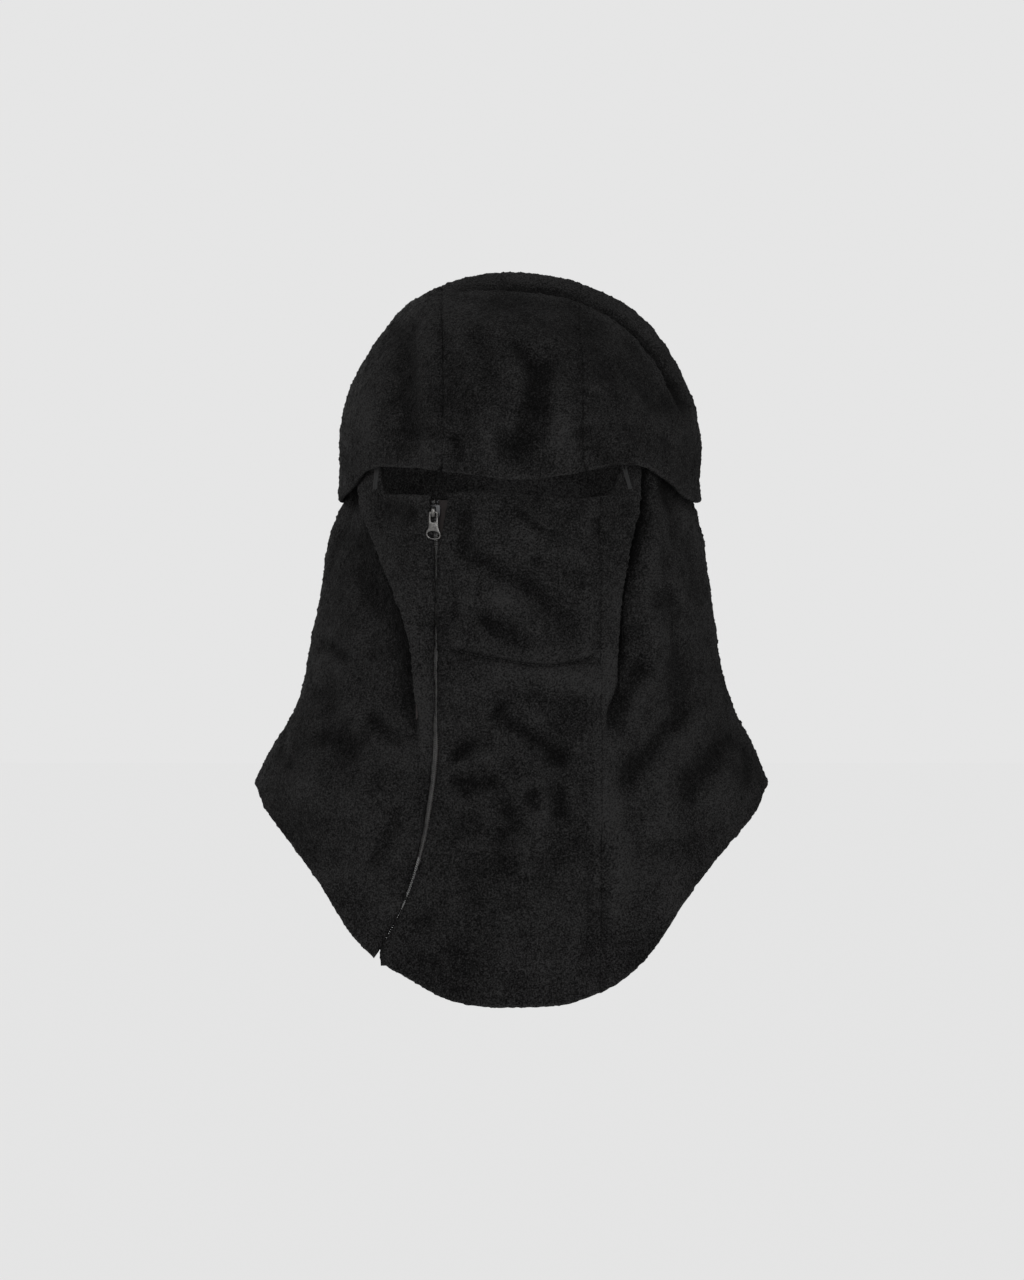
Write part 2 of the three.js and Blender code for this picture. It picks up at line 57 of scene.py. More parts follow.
# ------------------------------------------------------------------ sizes, in millimetres

GRID = 1.05  # spacing of the cloth's mesh
BACK_GRID = 1.35
THIN_GRID = 2 * GRID  # for the lining, which has hardly any pile
INNER_STEP = 3  # the wrong side of the cloth is this much coarser
CLOTH = 4.0  # thickness of the fleece

hood_lo, hood_hi = box_mm("hood_centre_panel")
left_x, right_x = box_mm("hood_side_left")[0][0], box_mm("hood_side_right")[1][0]
HOOD_CENTRE_X = (left_x + right_x) / 2
HOOD_HALF_WIDTH = (right_x - left_x) / 2
HOOD_FRONT = -hood_lo[1]
HOOD_BACK = hood_hi[1]
HOOD_TOP = hood_hi[2]
HOOD_WIDEST_Z = -118.0
HOOD_ROUNDNESS = 2.15
HOOD_SEAM_X = (hood_lo[0], hood_hi[0])
SIDE_EDGE_Y = -14.0  # the hood's lower edge is the brim in front of this, and the neck behind it
NECK_EDGE = ([SIDE_EDGE_Y, 50, HOOD_BACK], [-138, -142, -150])  # its y, and its z
NAPE_Z = -149.0

TIP_Z = -320.0  # the shoulder points
SLOT_EDGE_Z = -139.0
TUCK_Z = -113.0  # the drape's edge beside the slot, hidden by the brim
SEAM_X = box_mm("front_right_panel")[0][0]

BRIM_EDGE = [(-125, -140), (-106, -133), (-93, -119.5), (-71, -117.5), (-30, -122.5), (0, -126),
             (31, -123.5), (66, -116.5), (84, -117.5), (100, -126.5), (114, -138), (130, -141)]
DRAPE_HALF_WIDTH = [(-480, 165), (-330, 165), (TIP_Z, 163.5), (-305, 157), (-280, 143), (-254, 133.5),
                    (-203, 124), (-165, 116.4), (-154, 111.2), (-146, 109), (-138, 108.6), (-100, 108.2)]
DRAPE_BACK = [(-400, 118), (-375, 115), (TIP_Z, 107), (-280, 99), (-240, 90), (-200, 87), (-165, 90),
              (-152, 94.6), (-140, 96.6), (-125, 97), (-100, 96.8)]
DRAPE_CENTRE = [(-480, 0.3), (-230, 0.3), (-180, 1.5), (-140, 4.5), (-100, 4.8)]
# The front hem from the bottom middle out to each shoulder point, and the back hem: distance aside, z.
FRONT_HEM_LEFT = [(0, -458.5), (8, -458.4), (27, -457), (46, -451.5), (65, -441), (84, -429.5),
                  (103, -411.5), (122, -382), (141, -358), (157, -335), (163, TIP_Z), (170, TIP_Z + 1)]
FRONT_HEM_RIGHT = [(0, -458.5), (12, -458.4), (31, -457), (49, -452), (69, -442), (88, -425), (107, -395.5),
                   (126, -371), (145, -350), (157, -334), (163, TIP_Z), (170, TIP_Z + 1)]
BACK_HEM = [(0, -374), (60, -368), (120, -346), (152, -328), (163, TIP_Z), (170, TIP_Z + 1)]

ZIP_X = -48.3  # of its straight stretch
ZIP_TOP_Z = -140.5
ZIP_BOTTOM_Z = -425.0
ZIP_STRAIGHT_END_Z = -296.0
ZIP_PATH = [(-426, -84.5), (-394, -68), (-362, -57.6), (-330, -51.6), (-310, -49.2),
            (ZIP_STRAIGHT_END_Z, ZIP_X), (-260, ZIP_X), (-200, ZIP_X), (-100, ZIP_X)]
ZIP_DEPTH = 99.0  # how far in front of the origin its top is
ZIP_LEAN = 0.06  # how much further forward it comes for each millimetre down
ZIP_TURN = -0.22  # how much it faces aside
TAPE_DEPTH = CLOTH + 1.3  # of the tape's middle, below the cloth's right side
ZIP_GROOVE = 4.3  # from the middle of the zip to the cloth
SIDES = (("left", -1), ("right", 1))

# ------------------------------------------------------------------ curves and noise


def unit(v):
    return v / np.maximum(np.linalg.norm(v, axis=-1, keepdims=True), 1e-9)


def lengths(points):
    """How far it is from each point to the next, down the first axis."""
    return np.linalg.norm(np.diff(points, axis=0), axis=-1)


def smooth(pairs):
    """A smooth value through (place, value) pairs, with each slope taken from the two neighbours."""
    rows = sorted(pairs)
    xs = np.array([r[0] for r in rows], float)
    ys = np.array([r[1] for r in rows], float)
    ahead = np.minimum(np.arange(len(xs)) + 1, len(xs) - 1)
    behind = np.maximum(np.arange(len(xs)) - 1, 0)
    slope = (ys[ahead] - ys[behind]) / (xs[ahead] - xs[behind])

    def value(place):
        at = np.clip(place, xs[0], xs[-1])
        i = np.clip(np.searchsorted(xs, at), 1, len(xs) - 1)
        span = xs[i] - xs[i - 1]
        t = (at - xs[i - 1]) / span
        bend = (t**3 - 2 * t**2 + t) * slope[i - 1] + (t**3 - t**2) * slope[i]
        return ys[i - 1] + (ys[i] - ys[i - 1]) * (3 * t**2 - 2 * t**3) + bend * span

    return value


def fade(value, start, end):
    """0 at start, 1 at end, and smooth between."""
    t = np.clip((value - start) / (end - start), 0, 1)
    return t * t * (3 - 2 * t)


def window(value, start, full, leave, end):
    """0 up to start, 1 from full to leave, and 0 again from end."""
    return fade(value, start, full) * (1 - fade(value, leave, end))


def bump(value, middle, width):
    """1 in the middle, and smoothly down to 0 on both sides."""
    return np.exp(-(((value - middle) / width) ** 2))


def hashed(i, j, k, seed):
    """A fixed random number from 0 to 1 for each cell (i, j, k)."""
    h = (i * 73856093) ^ (j * 19349663) ^ (k * 83492791) ^ (seed * 40503 + 12345)
    h = (h & 0xFFFFFFFF).astype(np.uint64)
    h = ((h ^ (h >> np.uint64(15))) * np.uint64(2246822519)) & np.uint64(0xFFFFFFFF)
    h = ((h ^ (h >> np.uint64(13))) * np.uint64(3266489917)) & np.uint64(0xFFFFFFFF)
    return (h ^ (h >> np.uint64(16))).astype(float) / 2**32


def noise(points, size, seed):
    """Smooth noise from -1 to 1 with lumps of a size, at (..., 3) points in millimetres."""
    q = points / size
    cell = np.floor(q).astype(np.int64)
    t = q - cell
    t = t * t * (3 - 2 * t)
    total = 0
    for dx in (0, 1):
        for dy in (0, 1):
            for dz in (0, 1):
                weight = 1
                for axis, d in enumerate((dx, dy, dz)):
                    weight = weight * (t[..., axis] if d else 1 - t[..., axis])
                corner = (cell[..., 0] + dx, cell[..., 1] + dy, cell[..., 2] + dz)
                total = total + weight * hashed(*corner, seed)
    return 2 * total - 1


# ------------------------------------------------------------------ the garment's surfaces

brim_z = smooth(BRIM_EDGE)
half_width = smooth(DRAPE_HALF_WIDTH)
back_depth = smooth(DRAPE_BACK)
centre_x = smooth(DRAPE_CENTRE)
hem_left = smooth(FRONT_HEM_LEFT)
hem_right = smooth(FRONT_HEM_RIGHT)
back_hem = smooth(BACK_HEM)
zip_x = smooth(ZIP_PATH)
stitch_line_z = smooth([(-48, -234), (-42, -234.4), (-10, -241), (22, -245.3), (40, -243), (54, -238.5),
                        (60, -236)])


def hood_share(z):
    """The hood's half width at a height, as a share of its widest."""
    up = np.clip((z - HOOD_WIDEST_Z) / (HOOD_TOP - HOOD_WIDEST_Z), 0, 1)
    dome = (1 - up**HOOD_ROUNDNESS) ** (1 / HOOD_ROUNDNESS)
    wall = 1 - 0.015 * ((HOOD_WIDEST_Z - z) / 34) ** 2
    return np.where(z <= HOOD_WIDEST_Z, wall, dome)


def neck_z(y):
    return np.interp(y, *NECK_EDGE)


def zip_depth(z):
    return ZIP_DEPTH + ZIP_LEAN * (ZIP_TOP_Z - z)


def drape_point(angle, z, inset=0.0):
    """A point of the drape. Angle 0 is the front middle, and a quarter turn is +X."""
    w = half_width(z)
    x = centre_x(z) + (w - inset) * np.sin(angle)
    facing = np.cos(angle)
    depth = zip_depth(z) / np.sqrt(1 - ((ZIP_X - centre_x(z)) / w) ** 2)
    rounded = -(depth - inset) * facing
    aside = x - zip_x(z)
    flat = -zip_depth(z) + inset * math.hypot(1, ZIP_TURN) + ZIP_TURN * aside
    near = 1 - fade(np.abs(aside), 8, 34)
    straight = fade(z, ZIP_STRAIGHT_END_Z - 50, ZIP_STRAIGHT_END_Z + 4)
    front = rounded + (flat - rounded) * near * straight
    back = -(back_depth(z) - inset) * facing
    return np.stack([x, np.where(facing < 0, back, front), z + 0 * x], -1)


def front_angle(x, z, inset=0.0):
    across = (x - centre_x(z)) / (half_width(z) - inset)
    return np.arcsin(np.clip(across, -0.9995, 0.9995))


def front_point(x, z, inset=0.0):
    return drape_point(front_angle(x, z, inset), z, inset)


def front_normal(x, z):
    aside = front_point(x + 1, z, CLOTH) - front_point(x - 1, z, CLOTH)
    up = front_point(x, z + 1, CLOTH) - front_point(x, z - 1, CLOTH)
    return unit(np.cross(aside, up))


def zip_point(z, aside, up):
    """A point beside the zip: down it by height, aside from its middle, and up from the tape."""
    lean = (zip_x(z + 1) - zip_x(z - 1)) / 2
    length = np.hypot(1, lean)
    x = zip_x(z) + aside / length
    level = z - aside * lean / length
    return front_point(x, level, TAPE_DEPTH) + front_normal(x, level) * np.asarray(up)[..., None]


# ------------------------------------------------------------------ folds

# How far the loose front of the hood sits below the crown behind it: by x, and by y.
crease_size = smooth([(-75, 0), (-48, 0.4), (-22, 3.2), (5, 5.6), (56, 6.3), (94, 6), (112, 5), (128, 4)])
crease_shape = smooth([(-200, 0), (-104, 0), (-78, 0.4), (-58, 0.86), (-46, 0.84), (-41.5, 0.92),
                       (-38.5, 1.5), (-35.5, 2.15), (-32, 2.2), (-27, 1.6), (-18, 0.5), (-7, 0), (200, 0)])


def hood_relief(p):
    """How far the hood's cloth stands out from its plain shape."""
    x, y, z = p[..., 0], p[..., 1], p[..., 2]
    wandering = strayed(p, 41)
    lift = -crease_size(x) * crease_shape(y) * fade(z, -98, -62)
    height = z - np.where(y < SIDE_EDGE_Y, brim_z(x), neck_z(y))
    neck = fade(y, -16, 26)
    lift = lift - 5.2 * neck * (1 - fade(height, 2, 26))
    lift = lift + (1 - neck) * (1.3 * (1 - fade(height, 0, 14)) - 0.8 * bump(height, 22, 5))
    for fold in HOOD_FOLDS:
        lift = lift + valley(wandering, *fold) * fade(-y, 0, 30)
    lift = lift + 3.2 * bump(x, -52, 34) * fade(z, -62, -22)
    loose = 1.5 - 0.7 * fade(-y, 10, 40)
    return lift + 1.6 * noise(p, 62, 3) + loose * noise(p, 29, 4) + 0.5 * noise(p, 13, 5)


# The face panel hangs in front of the cloth on each side of it, so a step runs down each side.
left_step_x = smooth([(-112, -98), (-128, -97), (-143, -94), (-162, -89), (-182, -82.5), (-198, -75.5),
                      (-214, -69.5), (-236, -64.5), (-265, -62), (-281, -58), (-330, -57)])
left_step_size = smooth([(-360, 0), (-312, 0), (-290, 0.35), (-262, 0.75), (-230, 1), (-112, 1)])
right_step_x = smooth([(-340, 50), (-276, 60), (-256, 66), (-234, 68), (-202, 70), (-173, 74.5),
                       (-143, 80.5), (-112, 82)])
right_step_size = smooth([(-360, 0), (-310, 0), (-276, 0.35), (-240, 0.8), (-203, 1), (-112, 1)])
roll_end_x = smooth([(-260, 106), (-240, 104), (-203, 100), (-127, 98)])


def step_beside(aside, high, low, high_reach, low_reach):
    """Proud of the cloth where aside is positive, and sunk on the other side."""
    far = np.abs(aside)
    beside = np.where(aside > 0, high * np.exp(-far / high_reach), -low * np.exp(-far / low_reach))
    return beside * np.tanh(far / 1.3)


def strayed(p, seed):
    """The same points moved a little by noise, so that a straight fold wanders as it runs."""
    moved = p.copy()
    moved[..., 0] += 3.4 * noise(p, 31, seed) + 1.6 * noise(p, 12, seed + 1)
    moved[..., 2] += 3.4 * noise(p, 31, seed + 2) + 1.6 * noise(p, 12, seed + 3)
    return moved


def valley(p, start, end, depth, width):
    """A soft valley between two (x, z) points, seen from the front."""
    (x0, z0), (x1, z1) = start, end
    dx, dz = x1 - x0, z1 - z0
    length = math.hypot(dx, dz)
    along = ((p[..., 0] - x0) * dx + (p[..., 2] - z0) * dz) / length
    aside = ((p[..., 0] - x0) * dz - (p[..., 2] - z0) * dx) / length
    reach = window(along, -0.35 * length, 0.2 * length, 0.8 * length, 1.35 * length)
    return -depth * reach * np.exp(-((aside / width) ** 2))


# Folds in the front, each from one (x, z) point to another, with its depth and half width. A negative
# depth is a ridge.
DRAPE_FOLDS = [
    # the left side
    ((-122, -229), (-111, -243), 2.4, 4.0),
    ((-121, -240), (-108, -254), -1.4, 4.0),
    ((-123, -259), (-117, -276), 2.0, 5.0),
    ((-122, -288), (-102, -298), 3.2, 11.0),
    ((-94, -274), (-71, -296), 2.2, 5.2),
    ((-71, -340), (-88, -370), 2.0, 6.5),
    ((-92, -226), (-90, -240), 1.8, 5.0),
    ((-140, -322), (-96, -330), -1.6, 12.0),
    ((-147, -288), (-143, -312), 1.8, 3.0),
    ((-106, -160), (-88, -214), 4.0, 11.0),
    ((-80, -148), (-60, -152), 2.2, 6.0),
    # the mouth panel, above its stitched line
    ((-29, -146), (-31, -170), 2.0, 7.0),
    ((-28, -172), (13, -198), 2.5, 6.5),
    ((8, -194), (38, -216), 2.3, 7.5),
    ((-9, -200), (20, -223), -2.0, 6.0),
    ((-22, -214), (6, -230), 2.2, 5.0),
    ((4, -147), (18, -157), 2.0, 2.8),
    ((2, -160), (44, -178), -1.6, 7.0),
    ((13, -176), (18, -184), 1.8, 5.0),
    ((55, -150), (56, -164), 2.0, 4.5),
    ((52, -184), (48, -230), -1.6, 5.0),
    ((-36, -196), (-37, -216), 1.6, 4.0),
    # below it, where the cloth is crumpled
    ((-14, -250), (60, -254), -2.8, 9.0),
    ((-8, -280), (-3, -270), 2.6, 3.6),
    ((2, -283), (20, -294), 2.0, 4.2),
    ((27, -296), (31, -308), 2.6, 7.5),
    ((-43, -308), (-24, -296), 2.6, 3.8),
    ((-32, -309), (-14, -302), -1.8, 3.6),
    ((-42, -318), (-12, -320), 2.0, 4.8),
    ((-36, -332), (-8, -346), -1.6, 5.0),
    ((-5, -326), (-4, -340), 1.5, 4.4),
    ((9, -324), (13, -336), 1.9, 5.0),
    ((18, -318), (22, -346), -1.5, 3.0),
    ((30, -322), (32, -342), 2.2, 5.4),
    ((-10, -350), (-3, -372), 2.0, 9.0),
    ((56, -286), (62, -350), -3.2, 9.0),
    ((-42, -384), (-50, -404), 1.2, 10.0),
    ((49, -376), (50, -428), 1.6, 6.0),
    ((68, -352), (70, -396), -2.6, 8.0),
    # the right side
    ((79, -246), (62, -275), 3.4, 6.0),
    ((92, -238), (68, -296), -2.0, 5.0),
    ((107, -273), (74, -315), 4.0, 7.0),
    ((116, -282), (88, -320), -2.0, 6.0),
    ((135, -293), (109, -326), 4.0, 8.0),
    ((96, -148), (97, -192), -1.6, 3.2),
    ((97, -190), (116, -211), -1.4, 3.4),
    ((89, -198), (92, -210), 2.2, 6.0),
    ((92, -228), (127, -220), -1.8, 9.0),
    ((118, -244), (98, -266), 2.0, 9.0),
    ((108, -160), (113, -204), 2.0, 5.0),
    ((86, -360), (122, -354), 1.4, 10.0),
    ((147.5, -296), (149, -322), 2.0, 3.0),
]
HOOD_FOLDS = [
    ((-71, -28), (-67, -106), 6.0, 11.0),
    ((-42, -30), (-40, -52), 1.6, 5.0),
    ((-20, -38), (-16, -66), 1.8, 8.0),
    ((2, -40), (14, -66), 2.2, 6.0),
    ((20, -54), (6, -110), 3.5, 13.5),
    ((-16, -84), (-17, -118), -2.4, 6.0),
    ((33, -72), (35, -116), -2.6, 7.0),
    ((-37, -100), (-35, -114), 2.2, 4.5),
    ((46, -28), (62, -56), 2.6, 9.0),
    ((70, -50), (100, -84), 4.0, 13.0),
    ((-90, -62), (-97, -112), -3.2, 8.0),
    ((-60, -108), (-30, -112), -1.2, 6.0),
]


# Extra fullness at the sides under the hood, by height.
full_left = smooth([(-300, 0), (-190, 0), (-165, 2.5), (-150, 5), (-138, 2), (-112, 0)])
full_right = smooth([(-310, 0), (-280, 2), (-245, 4), (-203, 4.5), (-165, 5), (-150, 6), (-138, 2),
                     (-112, 0)])


def face_steps(x, z):
    """The step down each side of the face panel, and the roll of cloth beyond the right one."""
    left = step_beside(x - left_step_x(z), 2.8, 11.0, 7, 28)
    right = step_beside(right_step_x(z) - x, 2.8, 8.8, 8, 11)
    across = (x - right_step_x(z)) / (roll_end_x(z) - right_step_x(z))
    roll = 4.0 * np.sin(math.pi * np.clip(across, 0, 1)) ** 2 - 1.6 * bump(x, roll_end_x(z), 7)
    return left * left_step_size(z) + (right + roll) * right_step_size(z)


def stitched_patch(x, z):
    """The groove of the stitched line under the mouth, and the fuller cloth above it."""
    patch = window(x, -44, -38, 48, 53.5) * window(z, -260, -250, -178, -172)
    above = z - stitch_line_z(x)
    return (1.3 * window(above, 0.5, 3, 6, 26) - 1.7 * bump(above, 0, 1.5)) * patch


def drape_relief(p):
    """How far the drape's cloth stands out from its plain shape."""
    x, y, z = p[..., 0], p[..., 1], p[..., 2]
    front = fade(-y, 0, 22)
    crumpled = window(x, -46, -30, 32, 50) * window(z, -372, -346, -286, -268)
    lift = face_steps(x, z) + 1.7 * crumpled * noise(p, 15, 33)
    wandering = strayed(p, 31)
    for fold in DRAPE_FOLDS:
        lift = lift + valley(wandering, *fold)
    under_brim = 0.3 + 0.7 * fade(-z, 112, 134)
    lift = (lift * under_brim + stitched_patch(x, z)) * front
    wander = 1.9 * noise(p, 74, 11) + (1.7 - 0.8 * front) * noise(p, 33, 12) + 0.5 * noise(p, 14, 13)
    lift = lift + wander * (0.35 + 0.65 * fade(-z, 138, 160))
    # The cloth lies flat beside the zip, hangs in waves at the back, and is full at the sides.
    beside_zip = np.clip(fade(np.abs(x - zip_x(z)), 5.5, 15) + fade(y, -40, 0), 0, 1)
    waves = 3.2 * np.sin(7 * np.arctan2(x, y) + 0.6) * fade(-z, 190, 340) * fade(y, 10, 60)
    full = np.where(x < 0, full_left(z), full_right(z)) * fade(np.abs(x), 66, 104) * fade(-y, -70, -20)
    return lift * beside_zip + waves + full


def pile(p, amount):
    """The uneven surface of the fleece: tufts, clumps of tufts and soft patches."""
    tufts = noise(p, 1.35, 21)
    clumps = 0.42 * noise(p, 2.9, 22) + 0.4 * noise(p, 7.5, 23)
    return amount * (0.5 * tufts + 0.6 * np.clip(tufts, 0, 1) ** 3 + clumps)


# ------------------------------------------------------------------ cloth pieces

# How an edge turns under, in five steps: how far out of the edge, and how deep below the surface.
TURN = [math.radians(a) for a in (30, 60, 90, 120, 150)]
HEM = np.array([(CLOTH / 2 * math.sin(a), CLOTH / 2 * (1 - math.cos(a))) for a in TURN])
SEAM_PULL = 1.05  # the cloth is cut back this far from its seam, and its edge rounds down into it
SEAM = np.array([(0.65, 0.16), (1.15, 0.6), (1.38, 1.3), (1.38, 2.2), (1.2, 3.2)])
LIP = np.array([(1.3, 0.05), (2.2, 0.35), (2.6, 0.8), (2.0, 1.15), (0.2, 1.35)])
LIP_REACH = LIP[:, 0].max()
CORNER_REACH = 1.8  # a corner reaches this much further, so that it stays closed against its neighbour
# Painted light and shade on each of the five steps: a painted highlight on a hem's edge, painted shade under
# it, and painted shade deepening down into a seam's or a lip's edge.
HEM_PAINTED_LIGHT = np.array([0.35, 0.25, -0.6, -1.6, -2.2])
SEAM_PAINTED_SHADE = np.array([-0.2, -0.45, -0.75, -1.1, -1.4])


def evenly(points, count):
    """A curve's points again, evenly spaced."""
    along = np.concatenate([[0], np.cumsum(lengths(points))])
    at = np.linspace(0, along[-1], count)
    return np.stack([np.interp(at, along, points[:, k]) for k in range(3)], -1)


def steps(length, spacing=None):
    """A number of grid lines for a length, such that the coarser wrong side shares the edges."""
    return INNER_STEP * max(2, round(length / (spacing or GRID) / INNER_STEP)) + 1


def facing_normal(grid):
    return np.cross(np.gradient(grid, axis=0), np.gradient(grid, axis=1))


def outward(grid, sense):
    """The outward direction at each point of a grid."""
    n = unit(sense * facing_normal(grid))
    n[0, 0], n[0, -1], n[-1, 0], n[-1, -1] = n[2, 2], n[2, -3], n[-3, 2], n[-3, -3]
    return unit(n)


def border(rows, cols):
    """Round a grid's edge: the point numbers, and the side that each is on. Corners are on two sides."""
    index = np.arange(rows * cols).reshape(rows, cols)
    ring = np.concatenate([index[0, :-1], index[:-1, -1], index[-1, :0:-1], index[:0:-1, 0]])
    side = np.repeat([0, 1, 2, 3], [cols - 1, rows - 1, cols - 1, rows - 1])
    other = side.copy()
    other[[0, cols - 1, cols + rows - 2, 2 * cols + rows - 3]] = [3, 0, 1, 2]
    return ring, side, other


def quads(rows, cols, start, turned):
    """The faces of a grid whose points are numbered from start."""
    i = np.arange(rows * cols).reshape(rows, cols) + start
    a, b, c, d = i[:-1, :-1].ravel(), i[:-1, 1:].ravel(), i[1:, 1:].ravel(), i[1:, :-1].ravel()
    return np.stack([a, d, c, b] if turned else [a, b, c, d], -1).tolist()


def linked(name, data, place=(0, 0, 0)):
    """A new object in the scene."""
    obj = bpy.data.objects.new(name, data)
    obj.location = place
    bpy.context.scene.collection.objects.link(obj)
    return obj


def make_object(name, points_mm, faces, material):
    """A smooth-shaded mesh object from points in millimetres."""
    mesh = bpy.data.meshes.new(name)
    mesh.from_pydata((np.asarray(points_mm, float) * MM).tolist(), [], faces)
    mesh.polygons.foreach_set("use_smooth", [True] * len(mesh.polygons))
    mesh.materials.append(material)
    mesh.update()
    return linked(name, mesh)


def blurred(values, reach):
    """A grid's values averaged over a square neighbourhood, twice."""
    for axis in (0, 1, 0, 1):
        wide = [(0, 0), (0, 0)]
        wide[axis] = (reach + 1, reach)
        total = np.cumsum(np.pad(values, wide, mode="edge"), axis=axis)
        total = np.moveaxis(total, axis, 0)
        values = np.moveaxis((total[2 * reach + 1 :] - total[: -2 * reach - 1]) / (2 * reach + 1), 0, axis)
    return values


def painted_fold_light_and_shade(lift, spacing):
    """Painted light and shade from how far each point of the cloth stands above what lies round it, or below
    it where negative: painted shade in the hollows, and a weaker painted highlight on the rises.
    """
    near, far, wide = (lift - blurred(lift, max(2, round(reach / spacing))) for reach in (8, 22, 46))
    tone = 0.55 * np.tanh(near / 1.3) + 0.5 * np.tanh(far / 3.2) + 0.4 * np.tanh(wide / 5.5)
    return np.where(tone > 0, 0.5 * tone, tone)


# Soft patches of painted light and shade, where the pile leans to the light or from it: the middle's x and
# z, the half width and half height, and how much lighter or darker.
PAINTED_LIGHT_PATCHES = [
    (-92, -95, 9, 30, 0.35),
    (10, -68, 85, 32, -0.34),
    (-78, -185, 14, 48, -0.52),
    (-108, -205, 14, 34, -0.42),
    (90, -155, 17, 36, -0.4),
    (34, -250, 34, 25, 0.46),
    (-110, -300, 36, 24, -0.38),
    (-75, -372, 14, 15, -0.45),
    (-32, -340, 13, 30, 0.3),
    (-2, -345, 13, 24, -0.34),
    (60, -345, 16, 62, 0.42),
    (96, -372, 28, 32, 0.46),
]


def painted_lean_light(p):
    """Painted light and shade on the front, in patches where the pile leans to the light or from it."""
    tone = 0
    for x, z, wide, high, amount in PAINTED_LIGHT_PATCHES:
        tone = tone + amount * bump(p[..., 0], x, wide) * bump(p[..., 2], z, high)
    return tone * fade(-p[..., 1], 0, 22)


def note_cut(grid):
    """Works out a piece's size as cut, which is the size of its plain shape, before the folds, and keeps it
    nowhere.
    """
    down, across = (float(lengths(g).sum(0).max()) * MM for g in (grid, grid.swapaxes(0, 1)))


def rounded_edge(grid, n, sides, thickness, amount, lip):
    """The rings of points that close a piece's edge, from its right side to its wrong side."""
    ring, side, other = border(*grid.shape[:2])
    edge, edge_n = grid.reshape(-1, 3)[ring], n.reshape(-1, 3)[ring]
    tangent = unit(np.roll(edge, -1, axis=0) - np.roll(edge, 1, axis=0))
    out = unit(np.cross(tangent, edge_n))
    inside = np.pad(grid[1:-1, 1:-1], ((1, 1), (1, 1), (0, 0)), mode="edge").reshape(-1, 3)[ring]
    out *= np.sign((out * (edge - inside)).sum())
    shapes = np.stack(sides)
    profile = (shapes[side] + shapes[other]) / 2 * (thickness / CLOTH)
    profile[side != other, :, 0] *= CORNER_REACH
    if lip is not None:
        lip_side, reach = lip
        at_lip = (side == lip_side) & (other == lip_side)
        profile[at_lip, :, 0] *= (reach(edge[at_lip]) / LIP_REACH)[:, None]
    rings = []
    for k in range(profile.shape[1]):
        points = edge + out * profile[:, k, :1] - edge_n * profile[:, k, 1:]
        share = 1 - (k + 1) / (profile.shape[1] + 1)
        facing = unit(edge_n * share + out * (1 - abs(2 * share - 1)))
        rings.append(points + facing * pile(points, amount * (0.35 + 0.65 * share))[:, None])
    return rings


def closed_faces(rows, cols, ring_count):
    """The faces of the right side, the rounded edge, and the wrong side with its coarser grid."""
    ring = border(rows, cols)[0]
    loop = len(ring)
    faces = quads(rows, cols, 0, False)
    around = [ring] + [rows * cols + loop * k + np.arange(loop) for k in range(ring_count)]
    for near, far in zip(around, around[1:]):
        faces += np.stack([np.roll(near, -1), near, far, np.roll(far, -1)], -1).tolist()
    low_rows, low_cols = (rows - 1) // INNER_STEP + 1, (cols - 1) // INNER_STEP + 1
    base = rows * cols + loop * ring_count
    inner = border(low_rows, low_cols)[0] + base
    for k in range(len(inner)):
        p = [int(around[-1][(INNER_STEP * k + j) % loop]) for j in range(INNER_STEP + 1)]
        q0, q1 = int(inner[k]), int(inner[(k + 1) % len(inner)])
        faces += [[p[1], p[0], q0], [p[2], p[1], q0, q1], [p[3], p[2], q1]]
    return faces + quads(low_rows, low_cols, base, True)


def add_painted_light(obj, tone, sides, under_count):
    """Stores each point's painted light and shade, for the material to read."""
    ring, side, other = border(*tone.shape)
    # The rim's points take the painted highlight and painted shade of the edge steps on top of their own.
    edge_painted_light = np.stack([HEM_PAINTED_LIGHT if s is HEM else SEAM_PAINTED_SHADE for s in sides])
    rim_painted_light = (tone.reshape(-1)[ring, None] + (edge_painted_light[side] + edge_painted_light[other]) / 2).T
    values = np.concatenate([tone.reshape(-1), *rim_painted_light, np.zeros(under_count)])
    obj.data.attributes.new("fold", "FLOAT", "POINT").data.foreach_set("value", values.astype(np.float32))


def cloth_piece(name, grid, sides, material, thickness=CLOTH, amount=1.0, relief=None, sink=0.0, lip=None):
    """A closed piece of cloth. grid is its right side, as (rows, columns, 3) points in millimetres, and
    sides are the edge profiles of its first row, last column, last row and first column."""
    note_cut(grid)
    middle = np.array([HOOD_CENTRE_X, 0, np.clip(grid[..., 2].mean(), -400, -60)])
    sense = 1.0 if (facing_normal(grid) * (grid - middle)).sum() > 0 else -1.0
    tone = np.zeros(grid.shape[:2])
    if relief is not None:
        lift = relief(grid)
        spacing = float(lengths(grid[:, grid.shape[1] // 2]).mean())
        # Painted shade in the hollows, painted highlights on the rises, and painted patches of light and
        # shade.
        tone = painted_fold_light_and_shade(lift, spacing) + painted_lean_light(grid)
        grid = grid + outward(grid, sense) * lift[..., None]
    grid = grid - outward(grid, sense) * sink
    n = outward(grid, sense)
    top = grid + n * pile(grid, amount)[..., None]
    rings = rounded_edge(grid, n, sides, thickness, amount, lip)
    under = (grid - n * thickness)[::INNER_STEP, ::INNER_STEP].reshape(-1, 3)
    faces = closed_faces(*grid.shape[:2], len(rings))
    if sense > 0:
        faces = [f[::-1] for f in faces]
    obj = make_object(name, np.concatenate([top.reshape(-1, 3), *rings, under]), faces, material)
    add_painted_light(obj, tone, sides, len(under))
    return obj


def finished(obj, body, slot, *nodes):
    """Gives an object its body, and hides the CAD nodes that it stands for. Its slot is not used."""
    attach(obj, body)
    if nodes:
        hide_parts(*nodes)
    return obj


